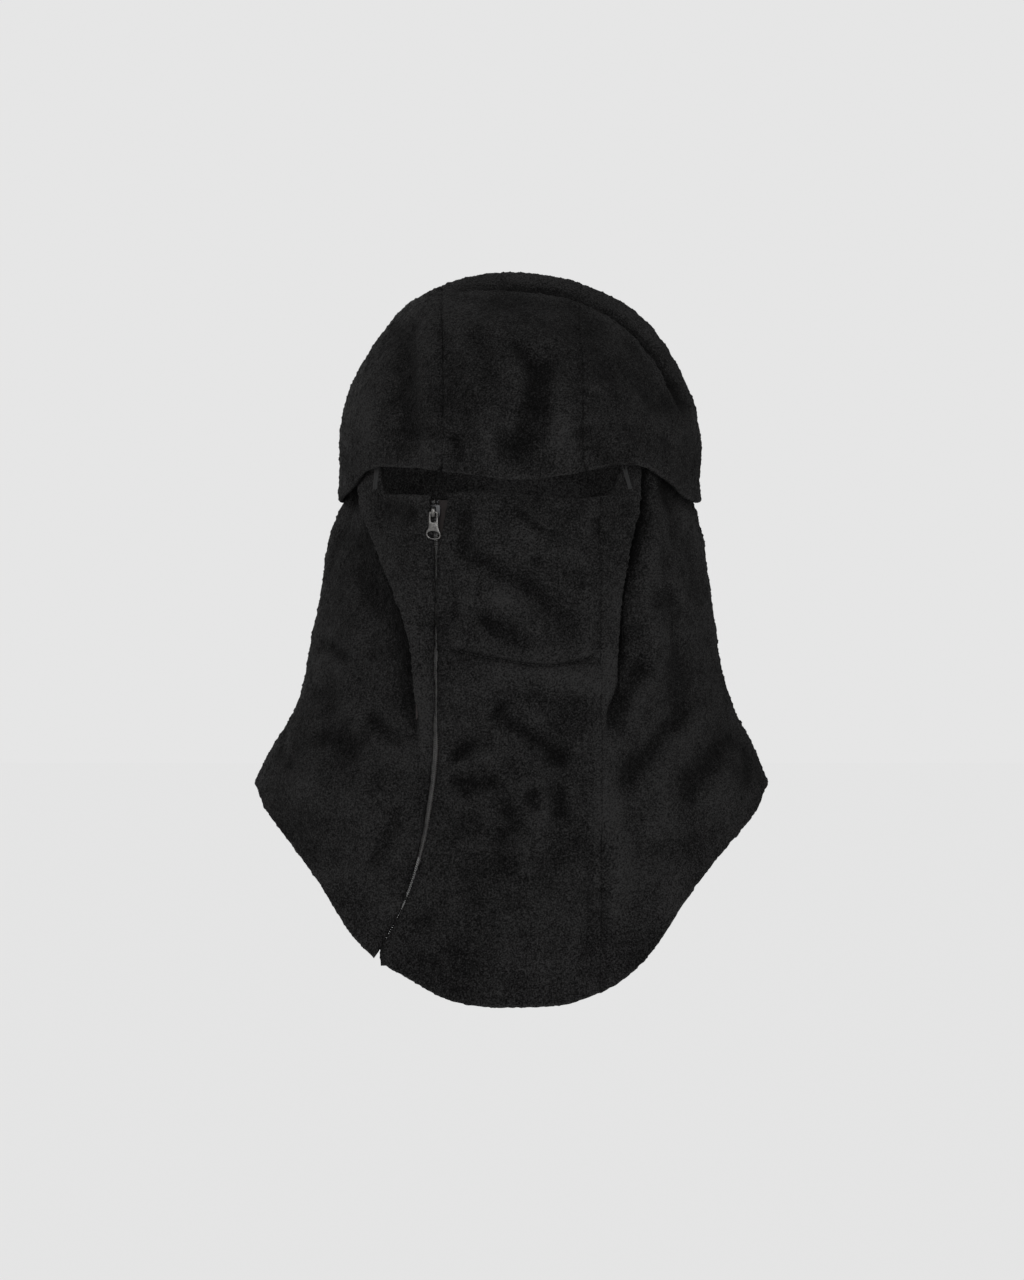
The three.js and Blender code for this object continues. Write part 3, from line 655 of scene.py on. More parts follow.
# ------------------------------------------------------------------ materials


def new_material(name):
    """A material, its node tree and its shader."""
    material = bpy.data.materials.new(name)
    material.use_nodes = True
    tree = material.node_tree
    return material, tree, tree.nodes["Principled BSDF"]


def feed(tree, node, values):
    """Sets a node's inputs: each to a number or a colour, or to another node's output."""
    for key, value in values.items():
        if isinstance(value, bpy.types.NodeSocket):
            tree.links.new(value, node.inputs[key])
        else:
            node.inputs[key].default_value = value


def add(tree, kind, output, values):
    """A new node's output, with the node's inputs set."""
    node = tree.nodes.new("ShaderNode" + kind)
    feed(tree, node, values)
    return node.outputs[output]


def own_coords(tree):
    return add(tree, "TexCoord", "Object", {})


def noise_node(tree, coords, scale, detail=2.0, roughness=0.5):
    values = {"Scale": scale, "Detail": detail, "Roughness": roughness, "Vector": coords}
    return add(tree, "TexNoise", "Fac", values)


def maths(tree, kind, *values):
    output = add(tree, "Math", 0, dict(enumerate(values)))
    output.node.operation = kind
    return output


def ramp(tree, fac, stops):
    """A colour for each value of fac, from (place, colour) stops."""
    output = add(tree, "ValToRGB", "Color", {"Fac": fac})
    elements = output.node.color_ramp.elements
    for element, (place, colour) in zip((elements[0], elements[1]), (stops[0], stops[-1])):
        element.position = place
        element.color = (*colour, 1)
    for place, colour in stops[1:-1]:
        elements.new(place).color = (*colour, 1)
    return output


def bumps(tree, height, strength, distance):
    return add(tree, "Bump", "Normal", {"Strength": strength, "Distance": distance, "Height": height})


FOLD_SHADE = 0.34  # how strongly the stored painted light and shade shows
CLUMP_SCALE = 0.3  # of the grain's


def fabric(name, dark, light, sheen, grain_scale=950.0, contrast=2.9, bump_strength=1.0):
    """Fleece or brushed knit: soft patches where the pile leans, clumps of fibre and fine grain, over the
    painted light and shade stored on the mesh.
    """
    material, tree, shader = new_material(name)
    coords = own_coords(tree)
    tone = 0.5
    layers = {}
    for kind, scale, detail, share in (("patches", 17.0, 3.0, 0.65), ("clouds", 52.0, 2.0, 0.55),
                                       ("clumps", grain_scale * CLUMP_SCALE, 2.0, 0.45),
                                       ("grain", grain_scale, 3.0, contrast)):
        layers[kind] = noise_node(tree, coords, scale, detail, 0.6)
        part = maths(tree, "MULTIPLY", maths(tree, "SUBTRACT", layers[kind], 0.5), share)
        tone = maths(tree, "ADD", part, tone)
    # Painted light and shade stored on the mesh: painted shade in the folds' hollows and under hems, painted
    # highlights on rises and hem edges, and painted patches where the pile leans to the light or from it.
    painted_light_and_shade = add(tree, "Attribute", "Fac", {})
    painted_light_and_shade.node.attribute_name = "fold"
    tone = maths(tree, "ADD", tone, maths(tree, "MULTIPLY", painted_light_and_shade, FOLD_SHADE))
    hairs = add(tree, "TexVoronoi", "Distance", {"Scale": grain_scale * 1.1, "Vector": coords})
    middle = tuple(0.36 * (a + b) for a, b in zip(dark, light))
    height = maths(tree, "ADD", layers["grain"], maths(tree, "MULTIPLY", layers["clumps"], 0.9))
    height = maths(tree, "SUBTRACT", height, maths(tree, "MULTIPLY", hairs, 0.4))
    feed(tree, shader, {
        "Base Color": ramp(tree, tone, [(0.08, dark), (0.5, middle), (0.92, light)]),
        "Normal": bumps(tree, height, bump_strength, 0.0016),
        "Roughness": 1.0,
        "Specular IOR Level": 0.1,
        "Sheen Weight": sheen,
        "Sheen Roughness": 0.55,
        "Sheen Tint": (0.6, 0.585, 0.585, 1),
    })
    return material


def woven(name, dark, light, pitch, sheen=0.05):
    """Narrow woven tape: two crossing sets of fine waves, with a little wear between them."""
    material, tree, shader = new_material(name)
    coords = own_coords(tree)
    waves = []
    for direction, scale in (("X", 1.0), ("Z", 0.8)):
        values = {"Scale": scale / (pitch * MM) / 2, "Distortion": 0.6, "Vector": coords}
        waves.append(add(tree, "TexWave", "Fac", values))
        waves[-1].node.bands_direction = direction
    weave = maths(tree, "MULTIPLY", *waves)
    worn = noise_node(tree, coords, 260, 3.0)
    tone = maths(tree, "ADD", maths(tree, "MULTIPLY", weave, 0.55), maths(tree, "MULTIPLY", worn, 0.5))
    feed(tree, shader, {
        "Base Color": ramp(tree, tone, [(0.2, dark), (0.75, light)]),
        "Normal": bumps(tree, weave, 0.7, 0.0002),
        "Roughness": 0.8,
        "Sheen Weight": sheen,
    })
    return material


def hard(name, dark, light, roughness, metallic, grain_scale, scratch=0.15):
    """Moulded nylon or plated metal: colour and gloss vary a little, with fine scratches."""
    material, tree, shader = new_material(name)
    coords = own_coords(tree)
    smears = noise_node(tree, coords, grain_scale, 3.0, 0.6)
    fine = noise_node(tree, coords, grain_scale * 6, 2.0, 0.7)
    feed(tree, shader, {
        "Base Color": ramp(tree, smears, [(0.3, dark), (0.7, light)]),
        "Roughness": maths(tree, "MULTIPLY_ADD", smears, 0.22, roughness - 0.11),
        "Normal": bumps(tree, fine, scratch, 0.00008),
        "Metallic": metallic,
    })
    return material


fleece = fabric("fleece", (0.0004, 0.0004, 0.0004), (0.031, 0.0305, 0.0306), 0.03)
lining = fabric("lining", (0.004, 0.004, 0.0042), (0.016, 0.0155, 0.0158), 0.03, 900.0, 1.2, 0.5)
grey_tape = woven("grey_tape", (0.008, 0.008, 0.0082), (0.022, 0.022, 0.0224), 0.5)
zip_weave = woven("zip_tape", (0.009, 0.006, 0.0056), (0.025, 0.0182, 0.0175), 0.6)
nylon = hard("zip_coil", (0.05, 0.049, 0.048), (0.125, 0.122, 0.119), 0.4, 0.0, 300.0)
gunmetal = hard("zip_metal", (0.07, 0.068, 0.066), (0.15, 0.146, 0.142), 0.34, 0.95, 420.0)
dark_metal = hard("dark_metal", (0.02, 0.02, 0.021), (0.05, 0.05, 0.052), 0.42, 0.9, 420.0)
thread = woven("thread", (0.006, 0.006, 0.006), (0.02, 0.019, 0.019), 0.3)

# ------------------------------------------------------------------ hood


def hood_depth(y):
    """How deep the hood is at its widest, in front of the origin or behind it."""
    return np.where(y < 0, HOOD_FRONT, HOOD_BACK)


def hood_arc(x, count=900):
    """The hood's outline at an x, from the brim's edge over the crown to the nape."""
    across = (x - HOOD_CENTRE_X) / HOOD_HALF_WIDTH
    dome = (1 - abs(across) ** HOOD_ROUNDNESS) ** (1 / HOOD_ROUNDNESS)
    top = HOOD_WIDEST_Z + (HOOD_TOP - HOOD_WIDEST_Z) * dome
    ease = np.sin(np.linspace(0, math.pi / 2, count))

    def down_to(z_end, depth):
        z = z_end + (top - z_end) * ease
        out = depth * np.sqrt(np.maximum(hood_share(z) ** 2 - across**2, 0))
        return np.stack([x + 0 * z, out, z], -1)

    front = down_to(float(brim_z(x)), -HOOD_FRONT)
    nape = NAPE_Z
    for _ in range(6):
        back = down_to(nape, HOOD_BACK)
        nape = float(neck_z(back[0, 1]))
    return np.concatenate([front, back[::-1][1:]])


def hood_edge_loop(side, from_x, count=900):
    """The hood's lower edge on one side, from its front seam round to its back seam."""
    sign = 1 if side == "right" else -1
    turn = np.linspace(0, math.pi, count)
    z = np.full(count, -130.0)
    for _ in range(8):
        share = hood_share(z)
        x = HOOD_CENTRE_X + sign * HOOD_HALF_WIDTH * share * np.sin(turn)
        y = -hood_depth(-np.cos(turn)) * share * np.cos(turn)
        z = brim_z(x) + (neck_z(y) - brim_z(x)) * fade(y, -30, -4)
    points = np.stack([x, y, z], -1)
    return points[sign * (points[:, 0] - from_x) > 0]


def onto_hood(points):
    """Points near the hood's surface, moved onto it, away from the middle of the head."""
    x, y = points[..., 0] - HOOD_CENTRE_X, points[..., 1]
    up = np.clip(points[..., 2] - HOOD_WIDEST_Z, 0, None) / (HOOD_TOP - HOOD_WIDEST_Z)
    round_ = np.hypot(x / HOOD_HALF_WIDTH, y / hood_depth(y))
    above = (round_**HOOD_ROUNDNESS + up**HOOD_ROUNDNESS) ** (-1 / HOOD_ROUNDNESS)
    wall = hood_share(points[..., 2]) / np.maximum(round_, 1e-9)
    low = points[..., 2] <= HOOD_WIDEST_Z
    scale = np.where(low, wall, above)
    z = np.where(low, points[..., 2], HOOD_WIDEST_Z + (points[..., 2] - HOOD_WIDEST_Z) * scale)
    return np.stack([HOOD_CENTRE_X + x * scale, y * scale, z], -1)


def hood_centre():
    left, right = HOOD_SEAM_X[0] + SEAM_PULL, HOOD_SEAM_X[1] - SEAM_PULL
    xs = np.linspace(left, right, steps(right - left))
    rows = steps(lengths(hood_arc(0)).sum())
    grid = np.stack([evenly(hood_arc(x), rows) for x in xs], 1)
    obj = cloth_piece("hood_centre_cloth", grid, (HEM, SEAM, HEM, SEAM), fleece, relief=hood_relief)
    return finished(obj, "garment", "fleece", "hood_centre_panel")


def hood_side(side):
    seam_x = HOOD_SEAM_X[1] + SEAM_PULL if side == "right" else HOOD_SEAM_X[0] - SEAM_PULL
    seam = hood_arc(seam_x)
    edge = hood_edge_loop(side, seam_x)
    edge = np.concatenate([seam[:1], edge, seam[-1:]])
    cols, rows = steps(300), steps(140)
    fine = 2000
    pick = ((0.008 + 0.984 * np.linspace(0, 1, cols)) * fine).round().astype(int)
    from_edge, to_seam = evenly(edge, fine + 1)[pick], evenly(seam, fine + 1)[pick]
    v = np.linspace(0, 1, rows)[:, None, None]
    grid = from_edge * (1 - v) + to_seam * v
    grid = onto_hood(grid)
    grid = np.stack([evenly(grid[:, c], rows) for c in range(cols)], 1)
    obj = cloth_piece(f"hood_{side}_cloth", grid, (HEM, SEAM, SEAM, SEAM), fleece, relief=hood_relief)
    return finished(obj, "garment", "fleece", f"hood_side_{side}")


def brim_facing():
    """The lining band inside the brim, which follows the cloth in front of it."""
    left_loop, right_loop = (hood_edge_loop(side, HOOD_CENTRE_X) for side in ("left", "right"))
    loop = np.concatenate([left_loop[::-1], right_loop])
    loop = loop[loop[:, 1] < SIDE_EDGE_Y - 8]
    loop = evenly(loop, steps(330, THIN_GRID))
    rows = steps(23, THIN_GRID)
    grid = []
    for up in np.linspace(1.8, 24, rows):
        level = loop.copy()
        level[:, 2] += up
        scale = hood_share(level[:, 2]) / hood_share(loop[:, 2])
        level[:, 0] = HOOD_CENTRE_X + (level[:, 0] - HOOD_CENTRE_X) * scale
        level[:, 1] *= scale
        grid.append(level)
    obj = cloth_piece("brim_facing_cloth", np.array(grid), (HEM,) * 4, lining, thickness=1.5, amount=0.15,
                      relief=hood_relief, sink=CLOTH + 0.35)
    return finished(obj, "garment", "lining", "brim_facing")


# ------------------------------------------------------------------ drape

QUARTER_TURN = math.pi / 2
EDGE_ANGLE = 0.01  # how far the side seams' cut edges are from the very side

# From the middle of the zip to the edge of the cloth on each side of it, by height.
LOWER_LIP = [(-430, 0.45), (-390, 0.5), (-372, 1.1), (-345, 1.55), (-293, 1.7)]
LIP_OPEN = {
    -1: smooth([*LOWER_LIP, (-279, 1.4), (-272, 0.5), (-256, 0.85), (-238, 0.8), (-228, 0.45), (-176, 0.45),
                (-164, 1.3), (-152, 1.6), (-146, 2.6), (-139, 3.6)]),
    1: smooth([*LOWER_LIP, (-285, 0.6), (-264, 0.5), (-256, 0.85), (-238, 0.8), (-228, 0.45), (-178, 0.5),
               (-168, 1.7), (-158, 4.2), (-146, 6.4), (-139, 7.4)]),
}


def zip_side(z, side):
    """How far the flat part of the cloth starts from the middle of the zip."""
    return np.maximum(ZIP_GROOVE, LIP_OPEN[side](z) + 1.5)


def lip_reach(side):
    """A function of edge points, for how far the cloth's edge reaches beyond its flat part."""
    def reach(points):
        z = points[:, 2]
        return zip_side(z, side) - LIP_OPEN[side](z)
    return reach


def front_hem(x):
    return np.where(x < 0, hem_left(-x), hem_right(x))


def back_hem_at(x):
    return back_hem(np.abs(x))


def hem_crossing(angle, hem, count=700):
    """Where a column of the drape meets its hem. angle(z) gives the column's angle at each height."""
    z = np.linspace(-180, -470, count)[:, None]
    turn = angle(z)
    x = centre_x(z) + half_width(z) * np.sin(turn)
    over = z - hem(x)
    first = np.argmax(over < 0, axis=0)
    k = np.arange(over.shape[1])
    a, b = over[first - 1, k], over[first, k]
    return z[first - 1, 0] + (z[first, 0] - z[first - 1, 0]) * a / (a - b)


def drape_grid(start_angle, end_angle, top, hem, u, rows):
    """Columns of the drape between two angles that may change with height, from top(x) to the hem."""
    def angle(z):
        return start_angle(z) + (end_angle(z) - start_angle(z)) * u[None, :]

    low = hem_crossing(angle, hem)
    high = np.full(len(u), SLOT_EDGE_Z)
    for _ in range(5):
        at = angle(high[None, :])[0]
        high = top(centre_x(high) + half_width(high) * np.sin(at))
    v = np.linspace(0, 1, rows)[:, None]
    flat_top = np.minimum(high, SLOT_EDGE_Z - 1.5) if high.min() < SLOT_EDGE_Z + 8 else high
    z = flat_top + (low - flat_top) * v + (high - flat_top) * np.clip(1 - v / 0.3, 0, 1) ** 2
    return drape_point(angle(z), z)


def dense_at(place, width, share, count):
    """count values from 0 to 1, closer together around a place."""
    t = np.linspace(0, 1, 4000)
    weight = 1 + share * bump(t, place, width)
    total = np.concatenate([[0], np.cumsum((weight[1:] + weight[:-1]) / 2)])
    return np.interp(np.linspace(0, total[-1], count), total, t)


# The drape's top edge: it runs under the slot, and up to the tucked edge at each end of it.
def top_left(x):
    return np.interp(x, [-87, -85.2, -83.6, -82.6, -80.5, -76],
                     [TUCK_Z, -116, -128, -135, -138.2, SLOT_EDGE_Z])


def top_right(x):
    return np.interp(x, [56, 61, 64.5, 67, 69, 71.5, 73.5],
                     [SLOT_EDGE_Z - 0.8, SLOT_EDGE_Z - 0.3, -137.4, -133, -127, -117, TUCK_Z])


top_centre = smooth([(-60, -138.6), (-44, -138), (-30, -137), (-12, -136.2), (0, -137.6), (18, -140),
                     (43, -141.2), (56, -139.9)])


def top_back(x):
    return np.full_like(x, TUCK_Z)


def constant(angle):
    return lambda z: angle + 0 * z


def seam_angle(sign):
    """The front's long seam, at a panel's edge on one side of it."""
    return lambda z: front_angle(SEAM_X + sign * SEAM_PULL + 0 * z, z)


def zip_angle(side):
    return lambda z: front_angle(zip_x(z) + side * zip_side(z, side), z)


def drape_panel(name, node, start, end, top, hem, u, rows, sides, lip=None):
    grid = drape_grid(start, end, top, hem, u, rows)
    obj = cloth_piece(name, grid, sides, fleece, relief=drape_relief, lip=lip)
    return finished(obj, "garment", "fleece", node)


def drape_panels():
    """The panels of the drape, from the left side seam round the front and then the back."""
    left_side, right_side = EDGE_ANGLE - QUARTER_TURN, QUARTER_TURN - EDGE_ANGLE
    return [
        drape_panel("front_left_cloth", "front_left_panel", constant(left_side), zip_angle(-1), top_left,
                    front_hem, dense_at(0.63, 0.03, 5, steps(150)), steps(270), (HEM, LIP, HEM, SEAM),
                    (1, lip_reach(-1))),
        drape_panel("front_centre_cloth", "front_centre_panel", zip_angle(1), seam_angle(-1), top_centre,
                    front_hem, np.linspace(0, 1, steps(122)), steps(322), (HEM, SEAM, HEM, LIP),
                    (3, lip_reach(1))),
        drape_panel("front_right_cloth", "front_right_panel", seam_angle(1), constant(right_side), top_right,
                    front_hem, dense_at(0.16, 0.04, 4, steps(160)), steps(310), (HEM, SEAM, HEM, SEAM)),
        drape_panel("back_cloth", "back_panel", constant(QUARTER_TURN + EDGE_ANGLE),
                    constant(3 * QUARTER_TURN - EDGE_ANGLE), top_back, back_hem_at,
                    np.linspace(0, 1, steps(390, BACK_GRID)), steps(262, BACK_GRID), (HEM, SEAM, HEM, SEAM)),
    ]


def mouth_lining():
    """The thin lining that the stitched rectangle holds behind the face panel."""
    lo, hi = box_mm("mouth_lining")
    x = np.linspace(lo[0] + 0.5, hi[0] - 0.5, steps(hi[0] - lo[0], THIN_GRID))[None, :]
    v = np.linspace(0, 1, steps(hi[2] - lo[2], THIN_GRID))[:, None]
    low = np.maximum(stitch_line_z(x) + 1.5, lo[2] + 1)
    grid = front_point(x + 0 * v, hi[2] - 1 + (low - hi[2] + 1) * v)
    obj = cloth_piece("mouth_lining_cloth", grid, (HEM,) * 4, lining, thickness=1.1, amount=0.12,
                      relief=drape_relief, sink=CLOTH + 0.4)
    return finished(obj, "garment", "lining", "mouth_lining")


# ------------------------------------------------------------------ small parts


def tube(path, radius, sides=6):
    """The points and faces of a round strand along (n, 3) points in millimetres, closed at both ends."""
    path = np.asarray(path, float)
    tangent = unit(np.gradient(path, axis=0))
    side = unit(np.cross(tangent, np.array([0.31, 0.17, 0.93]) + 0 * tangent))
    other = np.cross(tangent, side)
    turn = np.linspace(0, 2 * math.pi, sides, endpoint=False)[None, :, None]
    radius = np.broadcast_to(radius, len(path))[:, None, None]
    rings = path[:, None] + radius * (np.cos(turn) * side[:, None] + np.sin(turn) * other[:, None])
    return rings.reshape(-1, 3), tube_faces(len(path), sides)


def tube_faces(count, sides):
    """The faces of a closed tube with count rings of points."""
    faces = []
    for k in range(count - 1):
        for j in range(sides):
            a, b = k * sides + j, k * sides + (j + 1) % sides
            faces.append((a, b, b + sides, a + sides))
    faces.append(tuple(range(sides))[::-1])
    faces.append(tuple(range((count - 1) * sides, count * sides)))
    return faces


def strands(name, paths, radius, material):
    """Round strands along several paths, as one object."""
    points, faces = [], []
    for path in paths:
        strand_points, strand_faces = tube(path, radius)
        faces += [tuple(i + len(points) for i in face) for face in strand_faces]
        points += strand_points.tolist()
    return make_object(name, points, faces, material)


def rounded(count, radius):
    """Radii that round off a strand's two ends."""
    r = np.full(count, float(radius))
    r[[0, -1]] *= 0.45
    r[[1, -2]] *= 0.85
    return r


def on_cloth(x, z, proud=0.0):
    """A point of the drape's front as it lies, folds and all, and its outward direction."""
    def point(x_at, z_at):
        p = front_point(x_at, z_at)
        return p + front_normal(x_at, z_at) * drape_relief(p)[..., None]
    n = unit(np.cross(point(x + 1, z) - point(x - 1, z), point(x, z + 1) - point(x, z - 1)))
    return point(x, z) + n * proud, n


def stitches_under_mouth(start=-42, end=53, gap=3.0, length=2.3, radius=0.2):
    """The row of sewn stitches that closes the lining patch at its bottom."""
    count = 6
    t = np.linspace(0, 1, count)
    sink = 0.32 * (2 * t - 1) ** 2 - 0.1
    paths = []
    for first in np.arange(start, end, gap):
        x = first + length * t
        points, n = on_cloth(x, stitch_line_z(x), 0.15)
        paths.append(points - n * sink[:, None])
    obj = strands("stitches_under_mouth", paths, rounded(count, radius), thread)
    return finished(obj, "garment", "fleece")


# ------------------------------------------------------------------ zip

SLIDER_Z = -148.5  # the slider's middle, at rest
slider_origin = zip_point(np.array(SLIDER_Z), np.array(0.0), np.array(0.0))
slider_origin[[0, 2]] = ZIP_X, SLIDER_Z
ALONG = unit(np.array([0.0, -ZIP_LEAN, -1.0]))
OUT = unit(np.array([ZIP_TURN, -1.0, ZIP_LEAN]))
ACROSS = np.cross(ALONG, OUT)
PIVOT = slider_origin + ALONG * 0.4 + OUT * 6.25


def local(a, l, n):
    """A point of the slider: across it, along the zip from its middle, and out from the tape."""
    parts = ((a, ACROSS), (l, ALONG), (n, OUT))
    return slider_origin + sum(np.multiply.outer(size, direction) for size, direction in parts)


def zip_strip(name, aside, up, top_z, bottom_z, material, slot, node, spacing=2.0):
    """A band along the zip with a rounded rectangular section, between two places aside and two levels."""
    middle, half = (aside[0] + aside[1]) / 2, abs(aside[1] - aside[0]) / 2
    rise, thick = (up[0] + up[1]) / 2, (up[1] - up[0]) / 2
    r = min(thick, half) * 0.6
    section = []
    for right, top, quarter in ((1, 1, 0), (-1, 1, 1), (-1, -1, 2), (1, -1, 3)):
        for k in range(3):
            turn = (quarter + k / 2) * math.pi / 2
            beside = middle + right * (half - r) + r * math.cos(turn)
            section.append((beside, rise + top * (thick - r) + r * math.sin(turn)))
    section = np.array(section)
    zs = np.linspace(top_z, bottom_z, max(4, int(abs(top_z - bottom_z) / spacing)))
    z = np.repeat(zs[:, None], len(section), 1)
    grid = zip_point(z, section[None, :, 0] + 0 * z, section[None, :, 1] + 0 * z)
    obj = make_object(name, grid.reshape(-1, 3), tube_faces(len(zs), len(section)), material)
    outward_faces(obj)
    return finished(obj, "garment", slot, node)


def outward_faces(obj):
    bm = bmesh.new()
    bm.from_mesh(obj.data)
    bmesh.ops.recalc_face_normals(bm, faces=bm.faces)
    bm.to_mesh(obj.data)
    bm.free()


def coil(side, sign):
    """One side of the nylon coil, wound so that its turns sit between those of the other side."""
    pitch, radius, around = 1.3, 0.36, 12
    top_z, bottom_z = -143.6, -420.4
    turns = (top_z - bottom_z) / pitch
    t = np.arange(0, turns, 1 / around) + (0.5 if sign > 0 else 0)
    t = t[t < turns]
    angle = 2 * math.pi * t
    z = top_z - t * pitch
    # The head of each turn reaches past the middle of the zip and hooks between the other side's.
    apart = fade(z, -149.5, -144.5)
    aside = sign * (0.78 + apart - 1.12 * np.cos(angle))
    path = zip_point(z, aside, 1.5 + 0.52 * np.sin(angle))
    obj = strands(f"coil_{side}", [path], radius, nylon)
    return finished(obj, "garment", "zip_coil", f"zip_coil_{side}")


def zip_tape(side, sign):
    aside = sorted((sign * 0.7, sign * 12.5))
    return zip_strip(f"tape_{side}", aside, (-0.28, 0.28), ZIP_TOP_Z, ZIP_BOTTOM_Z, zip_weave,
                     "zip_tape", f"zip_tape_{side}")


def top_stop(side, sign):
    aside = sorted((sign * 0.75, sign * 2.4))
    zip_strip(f"top_stop_{side}", aside, (0.55, 2.35), ZIP_TOP_Z - 0.3, ZIP_TOP_Z - 2.4, dark_metal,
              "zip_metal", f"zip_top_stop_{side}", 0.5)


def bottom_stop():
    zip_strip("bottom_stop", (-2.4, 2.4), (0.5, 2.35), ZIP_BOTTOM_Z + 4.1, ZIP_BOTTOM_Z + 0.9, dark_metal,
              "zip_metal", "zip_bottom_stop", 0.6)


SHARP_ANGLE = math.radians(38)
RIM_ANGLE = 0.8  # radians: a plate's edges that turn further than this are its rims


def sort_mesh(bm):
    """Puts a mesh's parts in a fixed order, because Blender's tools don't give the same one each run."""
    def corners(item):
        return sorted(v.index for v in item.verts)

    for items, key in ((bm.verts, lambda v: tuple(v.co)), (bm.edges, corners), (bm.faces, corners)):
        for i, item in enumerate(sorted(items, key=key)):
            item.index = i
        items.sort()


def plate(name, outline, holes, low, high, bevel, place, material, segments=2):
    """A flat part from (across, along) outlines, between two levels, with rounded rims."""
    bm = bmesh.new()
    for loop in [outline, *holes]:
        verts = [bm.verts.new((a, l, 0)) for a, l in loop]
        for v, w in zip(verts, verts[1:] + verts[:1]):
            bm.edges.new((v, w))
    bmesh.ops.triangle_fill(bm, use_beauty=True, edges=bm.edges[:])
    bmesh.ops.dissolve_limit(bm, angle_limit=0.01, verts=bm.verts[:], edges=bm.edges[:])
    flat = bm.faces[:]
    raised = bmesh.ops.extrude_face_region(bm, geom=flat)["geom"]
    for v in raised:
        if isinstance(v, bmesh.types.BMVert):
            v.co.z = high - low
    for v in bm.verts:
        v.co.z += low
    bmesh.ops.recalc_face_normals(bm, faces=bm.faces)
    rims = [e for e in bm.edges if len(e.link_faces) == 2 and e.calc_face_angle() > RIM_ANGLE
            and abs(e.verts[0].co.z - e.verts[1].co.z) < 1e-6]
    bmesh.ops.bevel(bm, geom=rims, offset=bevel, segments=segments, affect="EDGES", profile=0.6,
                    clamp_overlap=True)
    bmesh.ops.triangulate(bm, faces=[f for f in bm.faces if len(f.verts) > 4])
    for v in bm.verts:
        v.co = Vector(place(v.co.x, v.co.y, v.co.z) * MM)
    if bm.calc_volume(signed=True) < 0:
        bmesh.ops.reverse_faces(bm, faces=bm.faces)
    sort_mesh(bm)
    mesh = bpy.data.meshes.new(name)
    bm.to_mesh(mesh)
    bm.free()
    mesh.materials.append(material)
    mesh.polygons.foreach_set("use_smooth", [True] * len(mesh.polygons))
    mesh.set_sharp_from_angle(angle=SHARP_ANGLE)
    return linked(name, mesh)


def joined(name, objs):
    """Several meshes as one object."""
    bm = bmesh.new()
    for obj in objs:
        bm.from_mesh(obj.data)
    mesh = objs[0].data
    bm.to_mesh(mesh)
    bm.free()
    objs[0].name = name
    for obj in objs[1:]:
        bpy.data.objects.remove(obj)
    mesh.name = name
    return objs[0]


def superellipse(a0, l0, half_a, half_l, power, count=40, end=2 * math.pi):
    """Points round a superellipse, or round the part of it up to an end angle."""
    def spread(value):
        return math.copysign(abs(value) ** (2 / power), value)

    turns = np.linspace(0, end, count, endpoint=end < 2 * math.pi)
    return [(a0 + half_a * spread(math.cos(t)), l0 + half_l * spread(math.sin(t))) for t in turns]


def mirrored(half):
    """A whole outline from its right half, which runs from one end of the middle line to the other."""
    return [*half, *[(-a, l) for a, l in half[::-1] if a > 0]]


def slider():
    shield = mirrored([(0, -4.6), (1.9, -4.95), (3.3, -4.5), (3.7, -3.2), (3.7, 0.5), (3.2, 2.6), (2.7, 4.2),
                       (2.1, 4.9), (0, 5)])
    top = plate("slider_upper", shield, [], 2.72, 3.58, 0.28, local, dark_metal)
    bottom = plate("slider_lower", shield, [], -1.48, -0.62, 0.25, local, dark_metal)
    post_outline = superellipse(0, -3.7, 0.62, 1.1, 2, 14)
    post = plate("slider_post", post_outline, [], -1.0, 3.1, 0.05, local, dark_metal, 1)
    rail = [(3.7, -3), (3.7, 0.6), (3.2, 2.6), (2.75, 4), (2.3, 4), (2.75, 2.4), (3.2, 0.4), (3.2, -3)]
    rails = []
    for side, sign in SIDES:
        outline = [(sign * a, l) for a, l in rail]
        rails.append(plate(f"slider_rail_{side}", outline, [], 2.05, 3.0, 0.06, local, dark_metal, 1))
    body = joined("slider_body_cast", [top, bottom, post, *rails])
    return finished(body, "zip_slider", "zip_metal", "slider_body")


def crown():
    """The arch on the slider that holds the pull tab, in side view, widest at its two feet."""
    lo, hi = 3.62, 8.05
    foot = 3.65
    outline = superellipse(0, 0, foot, hi - lo - 0.1, 3.2, 40, math.pi)
    hole = superellipse(0, 0.25, foot - 1, hi - lo - 1.35, 3.0, 26, math.pi)
    loop = outline + hole[::-1]

    def place(l, n, a):
        waist = 1 - 0.12 * abs(l) / foot
        return local(a * waist, l, lo + n)

    obj = plate("crown_arch", loop, [], -1.15, 1.15, 0.3, place, gunmetal, 3)
    return finished(obj, "zip_slider", "zip_metal", "slider_crown")


def spring():
    outline = superellipse(0, 0, 0.5, 2.1, 3, 18)
    obj = plate("lock_spring", outline, [], 3.64, 3.9, 0.05, local, gunmetal, 1)
    return finished(obj, "zip_slider", "zip_metal", "slider_lock_spring")


# Half of the tab's outline: across, and along from the pivot.
TAB_OUTLINE = [(0, -0.6), (1.6, -0.6), (2.5, -0.3), (2.85, 0.4), (2.9, 2.2), (2.95, 5), (3.0, 8),
               (3.15, 9.6), (3.55, 10.7), (4.2, 11.9), (4.65, 13.2), (4.65, 14.6), (4.2, 15.8), (3.2, 16.6),
               (1.8, 17.05), (0, 17.2)]


